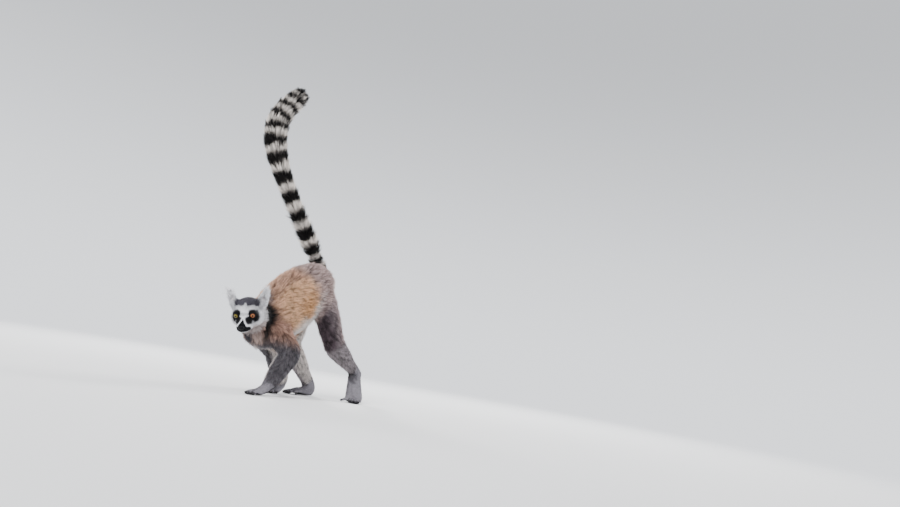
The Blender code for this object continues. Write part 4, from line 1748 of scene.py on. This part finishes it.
    def spikes(self, name: str, rings: int, root: Array, middle: Array, tip: Array, side: Array, width: Array,
               colour: Array, rng: np.random.Generator) -> bpy.types.Mesh:
        """Make the mesh of a piece's tufts: each is a closed, three-sided spike.

        Args:
            name: The piece's name.
            rings: How many bends each tuft has.
            root: The roots, a little under the skin.
            middle: The bends.
            tip: The tips.
            side: The way across each tuft.
            width: Each tuft's width.
            colour: Each tuft's colour.
            rng: The random numbers.

        Returns:
            The mesh.
        """
        count = len(root)
        along = unit(tip - root)
        side = unit(side - along * dot(side, along)[:, None])
        thick = np.cross(along, side)
        turn = rng.uniform(0, 2 * math.pi, count)
        levels = [(root, 1.0)] + ([(middle, self.bend_girth)] if rings else [])
        rows = []
        for centre, girth in levels:
            for corner in range(3):
                angle = turn + corner * 2 * math.pi / 3
                rows.append(centre + (width / 2 * girth)[:, None] * (side * np.cos(angle)[:, None]
                                                                     + thick * np.sin(angle)[:, None]))
        rows.append(tip)
        each = len(rows)
        faces = [(0, 2, 1)]
        for level in range(rings):
            for corner in range(3):
                a, b = level * 3 + corner, level * 3 + (corner + 1) % 3
                faces += [(a, b, b + 3), (a, b + 3, a + 3)]
        last = each - 4
        faces += [(last + corner, last + (corner + 1) % 3, each - 1) for corner in range(3)]
        all_faces = (np.array(faces)[None] + np.arange(count)[:, None, None] * each).reshape(-1, 3)
        mesh = self.raw_mesh(name, np.stack(rows, axis=1).reshape(-1, 3), all_faces)
        # Painted shade: the root and bend of each tuft are darker, for the shade deep in the coat as well as
        # the hair's greyer base; the tip is a little lighter, as the hair's tips are.
        shades = [self.root_shade] * 3 + [self.bend_shade] * (3 * rings) + [self.tip_shade]
        tints = np.stack([colour * shade for shade in shades], axis=1)
        paint(mesh, tints.reshape(-1, 3))
        return mesh

    @staticmethod
    def raw_mesh(name: str, points: Array, faces: Array) -> bpy.types.Mesh:
        """Make a mesh of triangles. A bmesh would be too slow for the hundreds of thousands here.

        Args:
            name: The mesh's name.
            points: The vertices.
            faces: The triangles.

        Returns:
            The mesh.
        """
        mesh = bpy.data.meshes.new(name)
        mesh.vertices.add(len(points))
        mesh.vertices.foreach_set("co", points.astype(np.float32).ravel())
        mesh.loops.add(faces.size)
        mesh.loops.foreach_set("vertex_index", faces.astype(np.int32).ravel())
        mesh.polygons.add(len(faces))
        mesh.polygons.foreach_set("loop_start", np.arange(0, faces.size, 3, dtype=np.int32))
        mesh.update(calc_edges=True)
        return mesh

    def unwrap(self, mesh: bpy.types.Mesh, members: list[str], root: Array) -> None:
        """Lay each tuft out as a small patch at its root's place on an unwrap of the limb it grows on.

        Args:
            mesh: The tufts' mesh.
            members: The pieces of flesh that the tufts cover; each has a tile of its own.
            root: The tufts' roots.
        """
        each = len(mesh.vertices) // len(root)
        faces = triangles_of(mesh)
        anatomy = self.skin.anatomy
        centres = np.array([anatomy.centres[m] for m in members])
        owner = np.argmin(np.linalg.norm(root[:, None] - centres[None], axis=2), axis=1)
        tiles = math.ceil(math.sqrt(len(members)))
        place = np.zeros((len(root), 2))
        for i, member in enumerate(members):
            mine = owner == i
            if not mine.any():
                continue
            spots = root[mine] - centres[i]
            _, axes = np.linalg.eigh(spots.T @ spots)
            long, wide, deep = axes[:, 2], axes[:, 1], axes[:, 0]
            around = np.arctan2(spots @ deep, spots @ wide) / (2 * math.pi) + 0.5
            height = spots @ long
            if member == "head":
                height = -np.cos(np.pi * 0.5 * np.clip(height / np.abs(height).max(), -1, 1) + np.pi / 2)
            height = (height - height.min()) / max(np.ptp(height), 1e-9)
            tile = np.array((i % tiles, i // tiles))
            inside = self.margin + (1 - 2 * self.margin) * np.column_stack([around, height])
            place[mine] = (tile + inside) / tiles
        angles = np.arange(each) * 2 * math.pi / each
        offsets = np.column_stack([np.cos(angles), np.sin(angles)]) * self.patch / 2
        offsets[-1] = 0
        spots = np.clip((place[:, None] + offsets[None]).reshape(-1, 2), 0, 1)
        layer = mesh.uv_layers.new(name="OFBake")
        layer.data.foreach_set("uv", spots[faces.ravel()].astype(np.float32).ravel())

    def build(self) -> None:
        """Grow the whole coat, piece by piece."""
        sides = ("left", "right")
        self.grow("coat_head", ["head"], rings=0)
        self.grow("coat_ears", list(EARS))
        self.grow("coat_neck", ["neck"])
        self.grow("coat_chest", ["chest"])
        self.grow("coat_rump_left", ["rump"], side=Side.LEFT)
        self.grow("coat_rump_right", ["rump"], side=Side.RIGHT)
        self.grow("coat_upper_arms", [f"upper_arm_{s}" for s in sides])
        self.grow("coat_forearms", [f"forearm_{s}" for s in sides])
        paws = [f"{part}_{s}" for part in ("hand", "foot") for s in sides]
        self.grow("coat_paws", paws, rings=0)
        self.grow("coat_thighs", [f"thigh_{s}" for s in sides])
        self.grow("coat_shanks", [f"shank_{s}" for s in sides])
        self.grow("coat_tail_root", [f"tail_{i}" for i in range(1, 4)])
        self.grow("coat_tail_end", [f"tail_{i}" for i in range(4, 7)])


# Eyes, nose and nails

@dataclass
class Eyes:
    """Two eyeballs with a bulging cornea.

    bulge and aperture, the half width that the lids leave open, are in centimetres. cornea is the
    cornea's radius as a share of the ball's, and behind what Gaze holds on the ball's far half.
    """

    anatomy: Anatomy
    bulge: float = 0.06
    cornea: float = 0.8
    aperture: float = 0.68
    behind: float = 1.5

    def build(self) -> None:
        """Build both eyes."""
        finishes = {"eye_left": EyeGlass("orange_eye", "#84492A", "#A9764D"),
                    "eye_right": EyeGlass("amber_eye", "#63581E", "#8C7C3E")}
        radius = self.anatomy.eye_radius * CM
        for name, finish in finishes.items():
            _, gaze, _, _ = self.anatomy.eye_frame(side_of(name))
            form = bmesh.new()
            bmesh.ops.create_uvsphere(form, u_segments=48, v_segments=40, radius=radius)
            for v in form.verts:
                off_axis = math.hypot(v.co.x, v.co.y) / radius
                if v.co.z > 0:
                    v.co.z += self.bulge * CM * max(0.0, 1 - (off_axis / self.cornea) ** 2)
            turned = Vector(self.anatomy.head_axes @ gaze).to_track_quat("Z", "Y").to_matrix().to_4x4()
            centre = Vector(self.anatomy.centres[name])
            reach = [math.hypot(v.co.x, v.co.y) / (self.aperture * CM) if v.co.z > 0 else self.behind
                     for v in form.verts]
            bmesh.ops.transform(form, matrix=Matrix.Translation(centre) @ turned, verts=form.verts)
            data = mesh_from(form, name)
            layer = data.attributes.new("Gaze", "FLOAT", "POINT")
            layer.data.foreach_set("value", np.array(reach, dtype=np.float32))
            piece = add_piece(name + "_ball", data, finish.material())
            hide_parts(name)


@dataclass
class LidRims:
    """The bare dark margins of the eyelids; sizes in centimetres.

    Each rim is an almond ring that stands a little proud of the ball, flattened against it.
    """

    anatomy: Anatomy
    half_width: float = 0.66
    half_height: float = 0.56
    thickness: float = 0.075
    flattening: float = 0.7
    proud: float = 0.03
    steps: int = 56
    sides: int = 8

    def build(self) -> None:
        """Build both rims as one piece."""
        form = bmesh.new()
        radius = self.anatomy.eye_radius
        around = [2 * math.pi * k / self.sides for k in range(self.sides)]
        for side in BOTH_SIDES:
            centre, gaze, across, above = self.anatomy.eye_frame(side)
            rings = []
            for step in range(self.steps):
                turn = 2 * math.pi * step / self.steps
                wide, high = self.half_width * math.cos(turn), self.half_height * math.sin(turn)
                ahead = math.sqrt(radius ** 2 - wide ** 2 - high ** 2)
                out = unit(across * wide + above * high + gaze * ahead)
                away = unit(across * wide + above * high)
                spot = centre + out * (radius + self.proud)
                ring = [spot + self.thickness * (out * math.sin(a) * self.flattening + away * math.cos(a))
                        for a in around]
                rings.append([form.verts.new(self.anatomy.from_head(*place)) for place in ring])
            for ring, after in zip(rings, rings[1:] + rings[:1]):
                for k in range(self.sides):
                    form.faces.new((ring[k], ring[k - 1], after[k - 1], after[k]))
        bmesh.ops.recalc_face_normals(form, faces=form.faces)
        add_piece("lid_rims", mesh_from(form, "lid_rims"), Rhinarium().material())


@dataclass
class Nose:
    """The bare nose with its two nostrils; sizes in centimetres in the head's frame."""

    anatomy: Anatomy
    radii: tuple[float, float, float] = (0.62, 0.42, 0.42)
    nostril_place: tuple[float, float] = (0.26, 0.02)
    nostril_size: tuple[float, float] = (0.13, 0.10)
    nostril_depth: float = 0.16
    nostril_rim: float = 0.03
    cleft_depth: float = 0.07
    cleft_width: float = 0.035

    def build(self) -> None:
        """Build the nose."""
        form = bmesh.new()
        bmesh.ops.create_uvsphere(form, u_segments=64, v_segments=48, radius=1)
        across, height = self.nostril_place
        wide, high = self.nostril_size
        for v in form.verts:
            x, y, z = (c * r for c, r in zip(v.co, self.radii))
            for side in BOTH_SIDES:
                away = math.hypot((x - side * across) / wide, (z - height) / high)
                if y < 0 and away < 1.6:
                    y += self.nostril_depth * math.exp(-away ** 2 * 1.5)
                    y -= self.nostril_rim * math.exp(-((away - 1.15) / 0.3) ** 2)
            if y < 0:
                cleft = math.exp(-(x / self.cleft_width) ** 2) * min(1.0, max(0.0, 0.15 - z) / 0.15)
                y += self.cleft_depth * cleft
            place = (p + q for p, q in zip(self.anatomy.nose_place, (x, y, z)))
            v.co = Vector(self.anatomy.from_head(*place))
        piece = add_piece("nose_pad", mesh_from(form, "nose"), Rhinarium().material())
        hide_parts("nose")


@dataclass
class Nails:
    """A small curved nail on each digit; sizes in centimetres.

    A nail points down by the share droop, lies rise above the digit's tip and set_out past it, and
    nowhere below lowest.
    """

    length: float = 0.44
    width: float = 0.30
    height: float = 0.13
    rise: float = 0.06
    set_out: float = 0.05
    droop: float = 0.5
    lowest: float = 0.3 * MM

    def build(self) -> None:
        """Build every nail as one piece."""
        form = bmesh.new()
        for paw in PAWS:
            for tip, turn in zip(paw.tips(), paw.spread, strict=True):
                angle = math.radians(paw.heading + turn)
                way = Vector((math.sin(angle), -math.cos(angle), -self.droop)).normalized()
                lifted = Vector(tip) + Vector((0, 0, self.rise * CM))
                place = Matrix.Translation(lifted + way * self.set_out * CM)
                shape = Matrix.Diagonal((self.width / 2, self.height / 2, self.length / 2, 1))
                turned = way.to_track_quat("Z", "Y").to_matrix().to_4x4()
                bmesh.ops.create_uvsphere(form, u_segments=14, v_segments=8, radius=CM,
                                          matrix=place @ turned @ shape)
        for v in form.verts:
            v.co.z = max(v.co.z, self.lowest)
        add_piece("nails", mesh_from(form, "nails"), NailHorn().material())


# Studio

@dataclass
class Studio:
    """A pale floor, soft light, and the camera low in front of the animal's left shoulder.

    Lengths are in metres and angles in degrees. The camera stands distance from stance on the floor,
    at a bearing from the way the animal walks. turn is how far it looks past stance, rise how far
    up, and roll its tilt. The floor fades between floor_clear and floor_edge from its middle.
    horizon and sky are the sky's strengths at the horizon and above glow_height, the upward part of
    a view's direction.
    """

    stance: tuple[float, float] = (0.0221, -0.0251)
    bearing: float = 45.3
    distance: float = 1.706
    height: float = 0.127
    turn: float = -11.9
    rise: float = 9.5
    roll: float = 9.7
    lens_mm: float = 27.4
    sensor_mm: float = 36.0
    near_clip: float = 0.01
    floor_colour: str = "#FAFAFA"
    floor_clear: float = 0.5
    floor_edge: float = 3.0
    sky_colour: str = "#E6E9EE"
    sky: float = 1.0
    horizon: float = 2.0
    glow_height: float = 0.5
    lit_spot: tuple[float, float, float] = (0.0, 0.0, 0.25)
    key: float = 3.2
    key_softness: float = 30.0
    key_place: tuple[float, float, float] = (0.7, -2.2, 2.3)
    rim: float = 55.0
    rim_size: float = 0.8
    rim_right_place: tuple[float, float, float] = (0.2, 2.5, 1.6)
    rim_left_place: tuple[float, float, float] = (-2.3, 0.8, 1.6)

    def build(self) -> None:
        """Set up the floor, the lights and the camera."""
        self.floor()
        self.lights()
        self.camera()

    def camera(self) -> None:
        """Place the camera."""
        angles = (self.bearing, self.bearing + self.turn, self.rise, self.roll)
        bearing, facing, rise, roll = (math.radians(angle) for angle in angles)
        place = Vector((self.stance[0] + math.sin(bearing) * self.distance,
                        self.stance[1] - math.cos(bearing) * self.distance, self.height))
        ahead = Vector((-math.sin(facing) * math.cos(rise), math.cos(facing) * math.cos(rise),
                        math.sin(rise)))
        right = ahead.cross(Vector((0, 0, 1))).normalized()
        up = right.cross(ahead)
        rolled = right * math.cos(roll) + up * math.sin(roll)
        top = up * math.cos(roll) - right * math.sin(roll)
        data = bpy.data.cameras.new("camera")
        data.lens = self.lens_mm
        data.sensor_width = self.sensor_mm
        data.clip_start = self.near_clip
        made = put_out("camera", data)
        made.matrix_world = Matrix.Translation(place) @ Matrix((rolled, top, -ahead)).transposed().to_4x4()
        bpy.context.scene.camera = made

    def floor(self) -> None:
        """Lay the floor, a pale disc that fades into the sky at its edge."""
        form = bmesh.new()
        bmesh.ops.create_circle(form, cap_ends=True, segments=96, radius=self.floor_edge)
        data = mesh_from(form, "floor")
        material = fresh_material("pale_floor")
        place = add_node(material, "ShaderNodeTexCoord")
        away = add_node(material, "ShaderNodeVectorMath", {"operation": "LENGTH"},
                        Vector=place.outputs["Object"])
        fade = {"interpolation_type": "SMOOTHERSTEP", "From Min": self.floor_edge,
                "From Max": self.floor_clear, "To Min": 0.0, "To Max": 1.0}
        shown = add_node(material, "ShaderNodeMapRange", fade, Value=away.outputs["Value"])
        finish_material(material, {"Base Color": (*linear(self.floor_colour), 1), "Roughness": 0.9,
                                   "Specular IOR Level": 0.0}, Alpha=shown.outputs["Result"])
        data.materials.append(material)
        put_out("floor", data)

    def lights(self) -> None:
        """Hang a soft key high in front, two rims behind, and a sky that is brightest at the horizon."""
        world = bpy.data.worlds.new("sky")
        world.use_nodes = True
        bpy.context.scene.world = world
        place = add_node(world, "ShaderNodeTexCoord")
        axes = add_node(world, "ShaderNodeSeparateXYZ", None, Vector=place.outputs["Generated"])
        glow = {"interpolation_type": "SMOOTHSTEP", "From Min": 0.0, "From Max": self.glow_height,
                "To Min": self.horizon, "To Max": self.sky}
        strength = add_node(world, "ShaderNodeMapRange", glow, Value=axes.outputs["Z"])
        background = world.node_tree.nodes["Background"]
        background.inputs["Color"].default_value = (*linear(self.sky_colour), 1)
        world.node_tree.links.new(strength.outputs["Result"], background.inputs["Strength"])
        sun = bpy.data.lights.new("key", "SUN")
        sun.energy = self.key
        sun.angle = math.radians(self.key_softness)
        self.hang(sun, self.key_place)
        for name, spot in (("rim_right", self.rim_right_place), ("rim_left", self.rim_left_place)):
            panel = bpy.data.lights.new(name, "AREA")
            panel.size = self.rim_size
            panel.energy = self.rim
            self.hang(panel, spot)

    def hang(self, light: bpy.types.Light, place: tuple[float, float, float]) -> None:
        """Put a light at a place, turned towards the middle of the animal.

        Args:
            light: The light.
            place: The place.
        """
        turned = (Vector(place) - Vector(self.lit_spot)).to_track_quat("Z", "Y").to_matrix().to_4x4()
        put_out(light.name, light).matrix_world = Matrix.Translation(place) @ turned


def main() -> None:
    """Build the lemur and its studio."""
    logging.basicConfig(level=logging.INFO, format="%(message)s")
    anatomy = Anatomy()
    skin = Skin(anatomy)
    skin.build()
    Coat(skin).build()
    Eyes(anatomy).build()
    LidRims(anatomy).build()
    Nose(anatomy).build()
    Nails().build()
    Studio().build()


if __name__ == "__main__":
    main()
